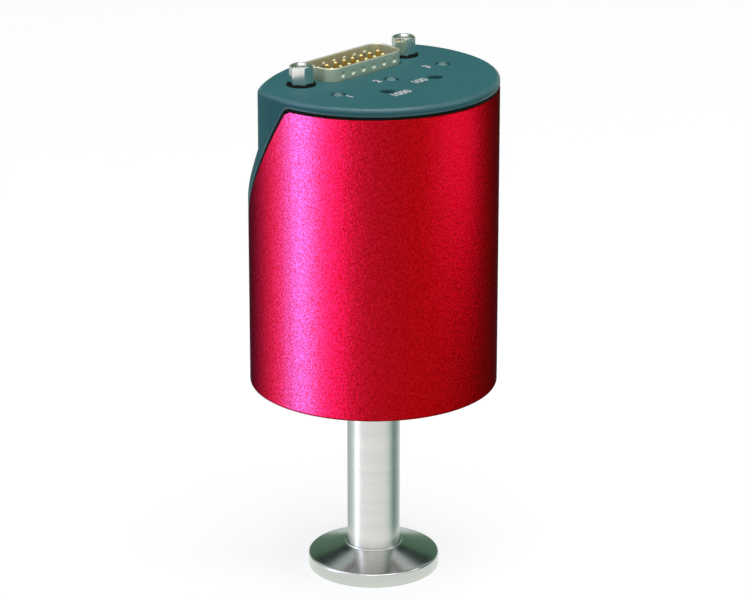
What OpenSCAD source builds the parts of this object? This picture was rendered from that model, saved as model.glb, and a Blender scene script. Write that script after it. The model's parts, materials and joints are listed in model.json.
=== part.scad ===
// Pirani vacuum gauge: a measuring tube on a clamp flange carries a round electronics housing,
// made of a metal sleeve cut off at a slant, a moulded cap and a 15-way connector on top.
// The origin is the centre of the flange's sealing face. +Z runs up the tube, X runs along the
// connector and +Y points to the flattened back of the cap.

/* [Vacuum flange] */
// Outer diameter of the clamp flange
flange_d = 30; // [28:0.5:34]
// Height of the flange's straight rim
flange_rim_h = 3.2; // [2.8:0.1:4]
// Slope of the clamping cone, in degrees
flange_cone_angle = 15; // [12:0.5:18]
// Diameter of the recess that takes a centring ring
recess_d = 17.2; // [15.5:0.1:19]
// Depth of the centring recess
recess_h = 3; // [2:0.1:3.6]
// Width of the weld bead around the foot of the tube
neck_wall = 0.4; // [0.35:0.05:1.6]
// Height of the weld bead above the cone
neck_h = 0.4; // [0.35:0.05:2]
// Edge chamfer of turned steel pieces
turned_edge = 0.4; // [0.2:0.1:0.6]

/* [Measuring tube] */
// Outer diameter of the measuring tube
tube_d = 12; // [10:0.5:13]
// Wall of the measuring tube
tube_wall = 1; // [0.8:0.1:1.5]
// Length of tube above the base plate
tube_above = 10.5; // [9:0.5:14]
// Outer diameter of the collar under the base plate
collar_d = 18; // [16:0.5:22]
// Height of the collar
collar_h = 3; // [2:0.5:5]
// Width across flats of the nut on the tube
tube_nut_af = 17; // [16:0.5:22]
// Height of the nut on the tube
tube_nut_h = 4; // [3:0.5:6]

/* [Sensor cell] */
// Thickness of the feedthrough disc
header_t = 3; // [2:0.5:4]
// Diameter of a glass seal
glass_d = 2; // [1.6:0.1:2.4]
// Diameter of a feedthrough pin
lead_d = 0.8; // [0.6:0.1:1]
// Distance between the two feedthrough pins
lead_spacing = 4.4; // [4:0.2:5]
// Length of the short pin below the disc
short_lead = 4; // [3:0.5:6]
// Length of the heated filament
filament_h = 28; // [20:1:34]
// Diameter of the filament's coil
coil_d = 1.2; // [0.8:0.1:1.6]
// Diameter of the filament wire
wire_d = 0.24; // [0.2:0.02:0.3]
// Number of turns in the coil
coil_turns = 16; // [8:1:24]

/* [Sleeve] */
// Outer diameter of the housing
body_d = 56; // [54:0.5:62]
// Height of the sleeve's lower edge above the sealing face
sleeve_z = 45.5; // [40:0.5:60]
// Height of the sleeve from its lower edge to the cap
sleeve_h = 69; // [64:0.5:80]
// Wall of the sleeve
sleeve_wall = 2; // [1.6:0.1:2.6]
// Slope of the cut at the back, in degrees
slant_angle = 56.3; // [52:0.1:60]
// Rounding where the slanted cut meets the level edge
slant_r = 5; // [3:0.5:8]
// Depth of the rebate in the wall that seats the base plate
rebate = 0.7; // [0.5:0.1:1]
// Chamfer of the sleeve's lower edge
sleeve_edge = 0.5; // [0.3:0.1:0.8]

/* [Base plate] */
// How far the base plate is set back from the sleeve's lower edge
base_setback = 1; // [0.5:0.5:3]
// Thickness of the base plate
base_t = 4; // [3.5:0.5:6]

/* [Cap] */
// Thickness of the gasket between sleeve and cap
gasket_t = 0.5; // [0.4:0.1:0.8]
// Height of the rim that follows the sleeve's edge
rim_t = 2; // [1.6:0.1:3]
// Thickness of the cap's top plate
plate_t = 2.8; // [2.6:0.1:3.2]
// Wall of the cap
cap_wall = 2; // [1.6:0.1:2.2]
// Wall of the skirt inside the sleeve
skirt_wall = 2; // [1.6:0.1:2.4]
// Depth of the skirt below the rim
skirt_h = 4; // [3:0.5:6]
// Distance from the axis to the flattened back
back_y = 19; // [18.5:0.25:20]
// Radius of the flattened back
back_r = 45; // [42:1:60]
// Rounding between the round front and the flattened back
back_corner_r = 5; // [3:0.5:7]
// Rounding of the cap's top edge
top_fillet = 1; // [0.6:0.1:1.4]
// Rounding inside the cap under its top plate
inner_fillet = 0.5; // [0.3:0.1:0.6]
// Diameter of the screw bosses inside the cap
boss_d = 6.4; // [6:0.2:7]
// Length of the two front bosses below the top plate
front_boss_h = 12; // [11:0.5:15]
// Length of the back boss
back_boss_h = 11; // [9:0.5:13]
// Distance from the sleeve's bore to the middle of a front tie rod
rod_edge = 4.6; // [4.4:0.1:5.4]
// Angle of the front tie rods in front of the X axis, in degrees
rod_angle = 36; // [34:0.5:38]
// Distance from the axis to the back tie rod
back_rod_y = 13.4; // [13:0.1:13.8]

/* [Connector] */
// Distance from the axis to the connector's centre line
plug_y = 6.13; // [5.6:0.05:6.5]
// Distance between the two jackscrews
post_spacing = 33.32; // [33:0.02:34]
// Gap from a jackscrew's axis to the inside of the shell on its wide side
shell_post_gap = 4.035; // [3.7:0.005:4.2]
// Inside depth of the connector's shell
shell_d = 8.36; // [8:0.02:8.8]
// Slope of the shell's short sides, in degrees
shell_slope = 10; // [8:1:12]
// Rounding of the shell's corners
shell_corner_r = 2.6; // [2:0.1:3]
// Thickness of the shell's sheet
shell_t = 0.5; // [0.4:0.05:0.6]
// Height of the shell above its flange
shell_h = 5.84; // [5.6:0.02:6.2]
// Length of the connector's flange beyond a jackscrew's axis
plug_flange_end = 2.94; // [2.74:0.01:3.3]
// Depth of the connector's flange
plug_flange_d = 12.5; // [12:0.1:13]
// Thickness of each flange plate
plug_flange_t = 0.8; // [0.6:0.1:1]
// Depth of the rear shell's collar
rear_collar_h = 3.5; // [2.5:0.5:4]
// Height of the connector's body between its flange and the board
plug_rear_h = 6; // [5.5:0.25:7]
// Pin diameter
pin_d = 1; // [0.9:0.05:1.1]
// Pin pitch along a row
pin_pitch = 2.77; // [2.7:0.01:2.8]
// Distance between the two rows of pins
row_gap = 2.84; // [2.6:0.02:3]
// Number of pins in the back row
back_pins = 8; // [6:1:8]
// How far the pin tips stand above the insulator
pin_reach = 4.8; // [3.8:0.1:5]
// How far the insulator stands above the flange
insulator_step = 0.4; // [0.2:0.1:0.8]
// Number of contact dimples on each long side of the shell
dimples = 6; // [4:1:7]
// Diameter of a contact dimple
dimple_d = 2; // [1.4:0.1:2.4]
// Depth of a contact dimple
dimple_sink = 0.3; // [0.1:0.05:0.4]
// Height of the dimples above the connector's flange
dimple_rise = 4.1; // [3.4:0.1:4.4]
// Corner rounding of the connector's flange
plug_flange_corner = 2.4; // [2:0.1:3]
// Length of thread below the jackscrews' nuts
thread_tail = 1; // [0.5:0.1:1.5]

/* [Jackscrews] */
// Width across flats of the hexagonal posts
hex_af = 4.76; // [4.5:0.02:5]
// Height of the posts above their seats
hex_h = 5; // [4:0.5:7]
// Depth of the posts' seats in the cap
seat_depth = 0.6; // [0.4:0.1:0.8]
// Diameter of the posts' seats
seat_d = 6.6; // [6:0.1:7]
// Diameter of the jackscrew's shank
shank_d = 2.84; // [2.6:0.02:3]
// Diameter of the tapped hole in a post
tap_d = 2.4; // [2.2:0.05:2.6]
// Depth of the tapped hole in a post
tap_h = 4.2; // [3:0.1:5]
// Width across flats of the nuts behind the connector
nut_af = 6.35; // [5.5:0.05:6.5]
// Height of the nuts behind the connector
nut_h = 2.4; // [2:0.1:2.6]

/* [Lamps and keys] */
// Lens diameter of a status lamp
lamp_d = 3; // [2.6:0.1:3.4]
// Height of a lamp's body
lamp_h = 5.3; // [4.5:0.1:5.5]
// Diameter of the rim at a lamp's foot
lamp_foot_d = 3.8; // [3.5:0.1:4.4]
// Height of the rim at a lamp's foot
lamp_foot_h = 1; // [0.6:0.1:1.4]
// Diameter of a lamp's legs
lamp_leg_d = 0.5; // [0.4:0.05:0.6]
// Distance between a lamp's legs
lamp_leg_gap = 2.54; // [2:0.02:2.6]
// How far a lamp's dome stands above the cap
lamp_proud = 0.3; // [0:0.1:0.6]
// Distance between neighbouring lamps
lamp_pitch = 17; // [15:0.25:17.5]
// Place of the row of lamps along Y
lamp_y = -5.3; // [-6:0.1:-4.8]
// Diameter of an adjusting key
key_d = 3; // [2.6:0.1:3.2]
// Distance between the two adjusting keys
key_spacing = 15.6; // [14:0.2:18]
// Place of the adjusting keys along Y
key_y = -11.3; // [-13:0.1:-11]
// How far a key's top lies below the cap
key_sink = 0.9; // [0.4:0.1:1.4]
// Travel of a key
key_travel = 0.25; // [0.2:0.05:0.3]
// Width of a key's switch
switch_w = 6; // [5.4:0.1:6.2]
// Height of a key's switch
switch_h = 3.5; // [3:0.1:4]
// Thickness of the lid that keeps a key in its switch
lid_t = 0.5; // [0.4:0.1:0.8]
// How far a key's shoulder stands out under the lid
shoulder_w = 0.5; // [0.4:0.1:0.8]
// Height of a key's shoulder
shoulder_h = 0.6; // [0.4:0.1:0.8]

/* [Boards] */
// Thickness of the circuit boards
board_t = 1.6; // [1:0.1:1.6]
// Width of the main board
main_w = 34; // [30:0.5:36]
// Gap between the main board and the connector board
main_drop = 0.4; // [0.3:0.1:0.8]
// Front face of the main board along Y
main_y = -3.2; // [-3.4:0.1:-2.8]
// Height of the sensor socket's underside above the measuring tube
socket_rise = 2; // [1:0.5:3]
// Height of the sensor socket
socket_h = 7; // [5:0.5:9]
// Width of the sensor socket
socket_w = 10; // [8:0.5:14]
// Number of pins that join the two boards
link_pins = 10; // [6:1:12]
// Pitch of the pins that join the two boards
link_pitch = 2.54; // [2:0.02:2.54]
// Width of a joining pin
link_d = 0.6; // [0.5:0.05:0.7]
// Width and height of the strip that holds the joining pins
strip_w = 2.5; // [2.2:0.1:2.8]
// How far soldered legs stand out of a board
solder_tail = 1.5; // [1:0.1:1.6]
// Width, height and thickness of the microcontroller
mcu = [10, 10, 1.4]; // [1:0.1:12]
// Width, height and thickness of the amplifier
amp = [4, 5, 1.6]; // [1:0.1:8]
// Width, height and thickness of the regulator
reg = [6.5, 6.5, 2.3]; // [1:0.1:9]
// Width, height and thickness of the choke
coil_case = [6, 6, 2.8]; // [1:0.1:8]
// Diameter of the smoothing capacitor
can_d = 8; // [6:0.5:10]
// Length of the smoothing capacitor
can_h = 10; // [8:0.5:12]
// Distance of the components from the main board's side edges
chip_edge = 9; // [8:0.5:10]
// Distance of the upper components below the main board's top edge
chip_drop = 12; // [10:0.5:14]
// Distance of the lower components above the main board's bottom edge
chip_rise = 11; // [10:0.5:12]
// Notch at the main board's lower corners
board_notch = 4; // [2:0.5:6]

/* [Fasteners] */
// Width across flats of the tie rods
rod_af = 5.5; // [5:0.1:5.5]
// Thread diameter of tie rods and base screws
screw_d = 3; // [2.5:0.1:3.2]
// Head diameter of a base screw
head_d = 5.5; // [5:0.1:6]
// Head height of a base screw
head_h = 2; // [1.5:0.1:2.2]
// Width across flats of a base screw's drive
drive_af = 2.5; // [2:0.1:3]
// Depth of a base screw's drive
drive_h = 1.2; // [0.8:0.1:1.4]
// Length of a base screw inside its tie rod
screw_grip = 7; // [5:0.5:9]
// Outer diameter of the brass inserts
insert_d = 4.2; // [4:0.1:4.4]
// Length of the brass inserts
insert_h = 5; // [4:0.5:6]

/* [Clearances] */
// Gap around a piece that is pressed, soldered or welded in place
fit_gap = 0.03; // [0.02:0.01:0.06]
// Gap around a piece that is slid into place
slide_gap = 0.15; // [0.1:0.05:0.2]
// Gap around a moving key
key_gap = 0.2; // [0.15:0.05:0.25]
// Gap between a key's shoulder and its stops
stop_gap = 0.05; // [0.03:0.01:0.1]
// Gap around a screw in a through hole
screw_gap = 0.15; // [0.1:0.05:0.25]
// Gap around the connector and lamps in the cap
window_gap = 0.3; // [0.2:0.05:0.4]
// Gap between the connector board and the boss below it
board_gap = 0.8; // [0.5:0.1:1.2]
// Gap between the connector board and the walls and bosses around it
board_side_gap = 1; // [0.6:0.1:1.4]

/* [Hidden] */
$fn = 96;
over = 1;
far = 200;
hull_sides = 32;

// Levels up the axis
seam_z = sleeve_z + sleeve_h;
rim_z = seam_z + gasket_t;
cap_z = rim_z + rim_t;
plate_z = cap_z - plate_t;
base_z = sleeve_z + base_setback;
base_top = base_z + base_t;
tube_top = base_top + tube_above;
plug_flange_z = plate_z - 2 * plug_flange_t;
board_top = plug_flange_z - plug_rear_h;
board_z = board_top - board_t;
main_top = board_z - main_drop;
socket_z = tube_top + socket_rise;
seat_z = cap_z - seat_depth;
shell_top = plate_z + shell_h;
insulator_top = plate_z + insulator_step;
pin_tip = insulator_top + pin_reach;
filament_top = tube_top - header_t - short_lead;
filament_low = filament_top - filament_h;
key_top = cap_z - key_sink;
key_edge = 0.2;
lamp_foot_z = cap_z + lamp_proud - lamp_h;
front_boss_z = plate_z - front_boss_h;
back_boss_top = board_z - board_gap;
back_boss_z = back_boss_top - back_boss_h;

// Radii and places
body_r = body_d / 2;
bore_r = body_r - sleeve_wall;
skirt_r = bore_r - slide_gap;
inner_r = skirt_r - skirt_wall;
tube_r = tube_d / 2;
tube_bore_r = tube_r - tube_wall;
neck_r = tube_r + neck_wall;
flange_r = flange_d / 2;
recess_r = recess_d / 2;
back_centre = back_y - back_r;
lead_x = lead_spacing / 2;
leads = [[-lead_x, 0], [lead_x, 0]];
front_rod = (bore_r - rod_edge) * [cos(rod_angle), -sin(rod_angle)];
rods = [[-front_rod.x, front_rod.y], front_rod, [0, back_rod_y]];
board_r = inner_r - board_side_gap;
chip_x = main_w / 2 - chip_edge;
rod_tops = [front_boss_z, front_boss_z, back_boss_z];
posts = [[-post_spacing / 2, plug_y], [post_spacing / 2, plug_y]];
shell_w = post_spacing - 2 * shell_post_gap;
plug_flange_w = post_spacing + 2 * plug_flange_end;
pin_places = [
    for (row = [0, 1])
    for (i = [0 : back_pins - 1 - row])
        [(i - (back_pins - 1 - row) / 2) * pin_pitch, plug_y + (0.5 - row) * row_gap]
];
main_back = main_y + board_t;
link_y = main_back + strip_w / 2;
link_z = board_z - strip_w / 2;
lamp_legs = [
    for (i = [-1 : 1])
    for (side = [-0.5, 0.5])
        [i * lamp_pitch + side * lamp_leg_gap, lamp_y]
];

// Centre of the rounding between the round front and the flattened back
corner_poke = 0.04;
function corner_reach(r) = r - back_corner_r + corner_poke;
function corner_y() =
    (pow(back_centre, 2) - pow(corner_reach(back_r), 2) + pow(corner_reach(body_r), 2)) / (2 * back_centre);
function corner_x() = sqrt(pow(corner_reach(body_r), 2) - pow(corner_y(), 2));

// A round tube between two heights
module round_tube(outer_r, inner_r, z0, z1) {
    translate([0, 0, z0])
    difference() {
        cylinder(r = outer_r, h = z1 - z0);
        translate([0, 0, -over])
        cylinder(r = inner_r, h = z1 - z0 + 2 * over);
    }
}

// A turned tube with chamfered outer edges
module turned_ring(outer_r, inner_r, z0, z1, edge) {
    rotate_extrude()
    polygon([
        [inner_r, z0], [outer_r - edge, z0], [outer_r, z0 + edge],
        [outer_r, z1 - edge], [outer_r - edge, z1], [inner_r, z1]
    ]);
}

// A disc from a low level up to a height, with a rounded top edge
module rounded_disc(r, top, low, fillet) {
    rotate_extrude() {
        translate([0, low]) square([r - fillet, top - low]);
        translate([0, low]) square([r, top - fillet - low]);
        translate([r - fillet, top - fillet]) circle(r = fillet);
    }
}

// A hexagonal bar with chamfered ends
module hex_bar(af, z0, z1, edge) {
    across = af / cos(30);
    intersection() {
        translate([0, 0, z0])
        cylinder(d = across, h = z1 - z0, $fn = 6);
        turned_ring(across / 2, 0, z0, z1, edge);
    }
}

// Everything below the sleeve's upper edge, raised by a distance square to that edge
module below_seam(raise, drop = 0) {
    tangent = slant_r * tan(slant_angle / 2);
    centre = [-tangent, -slant_r];
    translate([0, 0, seam_z - drop])
    rotate([90, 0, 90])
    linear_extrude(height = 2 * far, center = true)
    difference() {
        intersection() {
            translate([-far, raise - 2 * far]) square(2 * far);
            rotate(-slant_angle)
            translate([-far, raise - 2 * far]) square(2 * far);
        }
        difference() {
            translate(centre)
            polygon([
                [0, 0],
                [0, far],
                [far * sin(slant_angle / 2), far * cos(slant_angle / 2)],
                [far * sin(slant_angle), far * cos(slant_angle)]
            ]);
            translate(centre) circle(r = slant_r + raise);
        }
    }
}

// The flattened back of the cap with its rounded corners, as a solid up to a height
module back_block(inset, top, fillet) {
    low = sleeve_z;
    corner = [corner_x(), corner_y()];
    back_way = [corner.x, corner.y - back_centre];
    difference() {
        translate([0, back_centre, 0])
        rounded_disc(back_r - inset, top, low, fillet);
        for (side = [0, 1])
            mirror([side, 0, 0])
            translate([corner.x, corner.y, 0])
            difference() {
                translate([0, 0, low - over])
                linear_extrude(height = top - low + 2 * over)
                polygon([[0, 0], far * corner / norm(corner), far * back_way / norm(back_way)]);
                rounded_disc(back_corner_r - inset, top, low - 2 * over, fillet);
            }
    }
}

// Outline of the connector, wide towards +Y, grown by a margin
module plug_outline(margin) {
    r = shell_corner_r + margin;
    slope = tan(shell_slope);
    half_w = shell_w / 2;
    half_d = shell_d / 2;
    wide_x = half_w - shell_corner_r * (slope + 1 / cos(shell_slope));
    narrow_x = half_w - (shell_d - shell_corner_r) * slope - shell_corner_r / cos(shell_slope);
    translate([0, plug_y])
    hull()
    for (side = [-1, 1]) {
        translate([side * wide_x, half_d - shell_corner_r]) circle(r = r, $fn = hull_sides);
        translate([side * narrow_x, shell_corner_r - half_d]) circle(r = r, $fn = hull_sides);
    }
}

// Straight holes or pegs at listed places
module pegs(places, d, z0, z1) {
    for (place = places)
        translate([place.x, place.y, z0])
        cylinder(d = d, h = z1 - z0);
}

module kf_flange() {
    function cone_z(r) = flange_rim_h + (flange_r - r) * tan(flange_cone_angle);
    e = turned_edge;
    bead_e = min(e, neck_wall / 2, neck_h / 2);
    neck_top = cone_z(neck_r) + neck_h;
    seat_r = tube_r + fit_gap;
    color([0.74, 0.75, 0.76])
    rotate_extrude()
    polygon([
        [recess_r + e / 2, 0], [flange_r - e, 0], [flange_r, e], [flange_r, flange_rim_h - e],
        [flange_r - e, cone_z(flange_r - e)], [neck_r, cone_z(neck_r)],
        [neck_r, neck_top - bead_e], [neck_r - bead_e, neck_top], [seat_r, neck_top],
        [seat_r, recess_h], [recess_r, recess_h], [recess_r, e / 2]
    ]);
}

module measuring_tube() {
    color([0.7, 0.71, 0.72])
    turned_ring(tube_r, tube_bore_r, recess_h, tube_top, min(turned_edge, tube_wall / 2));
}

module tube_collar() {
    color([0.7, 0.71, 0.72])
    turned_ring(collar_d / 2, tube_r + fit_gap, base_z - collar_h, base_z, turned_edge);
}

module tube_nut() {
    color([0.66, 0.67, 0.68])
    difference() {
        hex_bar(tube_nut_af, base_top, base_top + tube_nut_h, 2 * turned_edge);
        translate([0, 0, base_top - over])
        cylinder(r = tube_r + fit_gap, h = tube_nut_h + 2 * over);
    }
}

module header_disc() {
    color([0.62, 0.6, 0.56])
    difference() {
        translate([0, 0, tube_top - header_t])
        cylinder(r = tube_bore_r - fit_gap, h = header_t);
        pegs(leads, glass_d + 2 * fit_gap, tube_top - header_t - over, tube_top + over);
    }
}

module glass_seals() {
    color([0.2, 0.42, 0.36])
    for (side = [-1, 1])
        translate([side * lead_x, 0, 0])
        round_tube(glass_d / 2, lead_d / 2 + fit_gap, tube_top - header_t, tube_top);
}

// Two pins through the glass, each with an arm that ends at the filament
module feedthrough_pins() {
    reach_x = coil_d / 2 + wire_d / 2 + fit_gap;
    arm_d = lead_d / 2;
    color([0.78, 0.7, 0.5])
    for (lead = [[-1, filament_top], [1, filament_low]]) {
        translate([lead[0] * lead_x, 0, lead[1] - lead_d / 2])
        cylinder(d = lead_d, h = socket_z + socket_h - over - lead[1]);
        translate([lead[0] * reach_x, 0, lead[1]])
        rotate([0, lead[0] * 90, 0])
        cylinder(d = arm_d, h = lead_x - reach_x);
    }
}

// One ring of the coiled wire, at a share of the way up
function coil_ring(share, sides) =
    let (turn = 360 * (coil_turns + 0.5) * share, z = filament_low + filament_h * share)
    [for (i = [0 : sides - 1])
        let (a = 360 * i / sides, r = coil_d / 2 + wire_d / 2 * cos(a))
        [r * cos(turn), r * sin(turn), z + wire_d / 2 * sin(a)]];

module filament() {
    sides = 5;
    rings = 10 * coil_turns;
    points = [for (i = [0 : rings]) each coil_ring(i / rings, sides)];
    skin = [
        for (i = [0 : rings - 1])
        for (k = [0 : sides - 1])
            let (a = i * sides + k, b = i * sides + (k + 1) % sides)
            each [[a, b, b + sides], [a, b + sides, a + sides]]
    ];
    start = [for (k = [sides - 1 : -1 : 0]) k];
    end = [for (k = [0 : sides - 1]) rings * sides + k];
    color([0.42, 0.42, 0.45])
    polyhedron(points = points, faces = concat([start], skin, [end]));
}

module base_plate() {
    color([0.6, 0.61, 0.63])
    difference() {
        turned_ring(bore_r + rebate - slide_gap, tube_r + slide_gap, base_z, base_top, turned_edge);
        pegs(rods, screw_d + 2 * screw_gap, base_z - over, base_top + over);
        pegs(rods, head_d + 2 * screw_gap, base_z - over, base_z + head_h + screw_gap);
    }
}

module base_screws() {
    under_head = base_z + head_h + screw_gap;
    color([0.45, 0.46, 0.48])
    for (place = rods)
        translate([place.x, place.y, 0]) {
            difference() {
                turned_ring(head_d / 2, 0, under_head - head_h, under_head, turned_edge / 2);
                translate([0, 0, under_head - head_h - over])
                cylinder(d = drive_af / cos(30), h = over + drive_h, $fn = 6);
            }
            translate([0, 0, under_head])
            cylinder(d = screw_d, h = base_top + screw_grip - under_head);
        }
}

module tie_rods() {
    stud_h = insert_h - board_gap;
    color([0.68, 0.69, 0.7])
    for (i = [0 : len(rods) - 1])
        translate([rods[i].x, rods[i].y, 0]) {
            difference() {
                hex_bar(rod_af, base_top, rod_tops[i], turned_edge);
                translate([0, 0, base_top - over])
                cylinder(d = screw_d + 2 * fit_gap, h = screw_grip + 2 * over);
            }
            translate([0, 0, rod_tops[i]])
            cylinder(d = screw_d, h = stud_h);
        }
}

module boss_inserts() {
    color([0.78, 0.62, 0.3])
    for (i = [0 : len(rods) - 1])
        translate([rods[i].x, rods[i].y, 0])
        round_tube(insert_d / 2, screw_d / 2 + fit_gap, rod_tops[i], rod_tops[i] + insert_h);
}

module sleeve() {
    color([0.7, 0.06, 0.16])
    intersection() {
        rotate_extrude()
        polygon([
            [bore_r + rebate, sleeve_z], [body_r - sleeve_edge, sleeve_z],
            [body_r, sleeve_z + sleeve_edge], [body_r, seam_z + over], [bore_r, seam_z + over],
            [bore_r, base_top], [bore_r + rebate, base_top]
        ]);
        below_seam(0);
    }
}

module sleeve_gasket() {
    color([0.05, 0.05, 0.06])
    difference() {
        intersection() {
            round_tube(body_r - slide_gap, bore_r + slide_gap, base_top, cap_z);
            below_seam(gasket_t);
        }
        below_seam(0);
    }
}

module cap() {
    boss_hole_h = insert_h + over;
    color([0.22, 0.36, 0.38])
    difference() {
        union() {
            // Outer shell: the tower above the seam, and the rim that follows the slanted cut
            difference() {
                intersection() {
                    rounded_disc(body_r, cap_z, base_top, top_fillet);
                    union() {
                        back_block(0, cap_z, top_fillet);
                        below_seam(gasket_t + rim_t);
                    }
                }
                below_seam(gasket_t);
            }
            // Skirt that centres the cap in the sleeve
            difference() {
                intersection() {
                    translate([0, 0, base_top]) cylinder(r = skirt_r, h = cap_z - top_fillet - base_top);
                    below_seam(gasket_t + rim_t / 2);
                }
                below_seam(gasket_t, skirt_h);
            }
        }
        // Hollow inside the skirt and the rim
        intersection() {
            translate([0, 0, sleeve_z]) cylinder(r = inner_r, h = plate_z - sleeve_z);
            cap_hollow();
        }
        // Wider hollow above the rim
        difference() {
            cap_hollow();
            below_seam(gasket_t + rim_t);
        }
        cap_openings();
    }
    // Screw bosses for the tie rods
    difference() {
        union() {
            for (i = [0, 1])
                translate([rods[i].x, rods[i].y, front_boss_z])
                cylinder(d = boss_d, h = front_boss_h + plate_t / 2);
            translate([rods[2].x, rods[2].y, back_boss_z])
            cylinder(d = boss_d, h = back_boss_h);
            translate([-boss_d / 4, back_rod_y, back_boss_z])
            cube([boss_d / 2, back_y - cap_wall / 2 - back_rod_y, back_boss_h]);
        }
        for (i = [0 : len(rods) - 1])
            translate([rods[i].x, rods[i].y, rod_tops[i] - over])
            cylinder(d = insert_d + 2 * fit_gap, h = boss_hole_h + over);
    }
}

// The space inside the cap's walls, up to the top plate
module cap_hollow() {
    intersection() {
        rounded_disc(body_r - cap_wall, plate_z, sleeve_z, inner_fillet);
        back_block(cap_wall, plate_z, inner_fillet);
    }
}

// Everything that passes through the cap's top plate
module cap_openings() {
    translate([0, 0, plate_z - over])
    linear_extrude(height = plate_t + 2 * over)
    plug_outline(shell_t + window_gap);
    pegs(posts, shank_d + 2 * screw_gap, plate_z - over, cap_z + over);
    pegs(posts, seat_d, seat_z, cap_z + over);
    pegs([for (i = [-1 : 1]) [i * lamp_pitch, lamp_y]], lamp_d + window_gap, plate_z - over, cap_z + over);
    pegs(
        [for (side = [-0.5, 0.5]) [side * key_spacing, key_y]],
        key_d + 2 * key_gap, plate_z - over, cap_z + over
    );
}

module connector_board() {
    color([0.1, 0.32, 0.2])
    difference() {
        translate([0, 0, board_z])
        linear_extrude(height = board_t)
        difference() {
            intersection() {
                circle(r = board_r);
                translate([0, back_centre]) circle(r = back_r - cap_wall - board_side_gap);
            }
            for (i = [0, 1])
                translate(rods[i]) circle(d = boss_d + 2 * board_side_gap);
        }
        pegs(pin_places, pin_d + 2 * fit_gap, board_z - over, board_top + over);
        pegs(lamp_legs, lamp_leg_d + 2 * fit_gap, board_z - over, board_top + over);
        link_bars(link_d + 2 * fit_gap, board_top + over);
    }
}

module main_board() {
    color([0.1, 0.34, 0.22])
    difference() {
        translate([-main_w / 2, main_y, socket_z])
        cube([main_w, board_t, main_top - socket_z]);
        for (x = [-main_w / 2 - over, main_w / 2 - board_notch])
            translate([x, main_y - over, socket_z - over])
            cube([board_notch + over, board_t + 2 * over, board_notch + over]);
        link_bars(link_d + 2 * fit_gap, board_top);
    }
}

module sensor_socket() {
    color([0.08, 0.08, 0.09])
    difference() {
        translate([-socket_w / 2, main_back, socket_z])
        cube([socket_w, socket_w / 2 - main_back, socket_h]);
        pegs(leads, lead_d + 2 * fit_gap, socket_z - over, socket_z + socket_h - over / 2);
    }
}

// Square bars that stand in the connector board and bend forwards through the main board
module link_bars(w, top) {
    front = main_y - solder_tail;
    for (i = [0 : link_pins - 1])
        translate([(i - (link_pins - 1) / 2) * link_pitch - w / 2, 0, link_z - w / 2]) {
            translate([0, link_y - w / 2, 0])
            cube([w, w, top - link_z + w / 2]);
            translate([0, front, 0])
            cube([w, link_y + w / 2 - front, w]);
        }
}

module link_strip() {
    strip_l = link_pins * link_pitch;
    color([0.08, 0.08, 0.09])
    difference() {
        translate([-strip_l / 2, main_back, board_z - strip_w])
        cube([strip_l, strip_w, strip_w]);
        link_bars(link_d + 2 * fit_gap, board_top);
    }
}

module link_pins_row() {
    color([0.8, 0.68, 0.35])
    link_bars(link_d, board_top + solder_tail);
}

// A component of a given width, height and thickness on the front face of the main board
module front_chip(x, z, size) {
    translate([x - size[0] / 2, main_y - size[2], z - size[1] / 2])
    cube([size[0], size[2], size[1]]);
}

// The same on the back face
module back_chip(x, z, size) {
    translate([x - size[0] / 2, main_back, z - size[1] / 2])
    cube([size[0], size[2], size[1]]);
}

module microcontroller() {
    color([0.07, 0.07, 0.08])
    front_chip(chip_x, main_top - chip_drop, mcu);
}

module amplifier() {
    color([0.07, 0.07, 0.08])
    back_chip(-chip_x, socket_z + chip_rise, amp);
}

module regulator() {
    color([0.09, 0.09, 0.1])
    front_chip(-chip_x, socket_z + chip_rise, reg);
}

module smoothing_capacitor() {
    color([0.12, 0.13, 0.2])
    translate([-chip_x, main_y, main_top - chip_drop])
    rotate([90, 0, 0])
    cylinder(d = can_d, h = can_h);
}

module choke() {
    color([0.2, 0.2, 0.21])
    back_chip(chip_x, main_top - chip_drop, coil_case);
}

module plug_flange(z0) {
    corner = plug_flange_corner;
    w = plug_flange_w / 2 - corner;
    d = plug_flange_d / 2 - corner;
    translate([0, plug_y, z0])
    linear_extrude(height = plug_flange_t) {
        square([2 * w + 2 * corner, 2 * d], center = true);
        square([2 * w, 2 * d + 2 * corner], center = true);
        for (x = [-w, w])
        for (y = [-d, d])
            translate([x, y]) circle(r = corner);
    }
}

module plug_shell() {
    dimple_z = plate_z + dimple_rise;
    dimple_pitch = (shell_w - 2 * shell_corner_r) / dimples;
    face_y = shell_d / 2 + shell_t;
    color([0.8, 0.79, 0.72])
    difference() {
        union() {
            plug_flange(plate_z - plug_flange_t);
            translate([0, 0, plate_z - plug_flange_t])
            linear_extrude(height = shell_h + plug_flange_t)
            plug_outline(shell_t);
        }
        translate([0, 0, plate_z - plug_flange_t - over])
        linear_extrude(height = shell_h + plug_flange_t + 2 * over)
        plug_outline(0);
        pegs(posts, shank_d + 2 * screw_gap, plug_flange_z - over, plate_z + over);
        for (side = [-1, 1])
        for (i = [0 : dimples - 1])
            translate([
                (i - (dimples - 1) / 2) * dimple_pitch,
                plug_y + side * (face_y + dimple_d / 2 - dimple_sink),
                dimple_z
            ])
            sphere(d = dimple_d);
    }
}

module plug_rear_shell() {
    color([0.78, 0.77, 0.7])
    difference() {
        union() {
            plug_flange(plug_flange_z);
            translate([0, 0, plug_flange_z - rear_collar_h])
            linear_extrude(height = rear_collar_h + plug_flange_t)
            plug_outline(shell_t);
        }
        translate([0, 0, plug_flange_z - rear_collar_h - over])
        linear_extrude(height = rear_collar_h + plug_flange_t + 2 * over)
        plug_outline(0);
        pegs(posts, shank_d + 2 * screw_gap, plug_flange_z - over, plate_z + over);
    }
}

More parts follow.
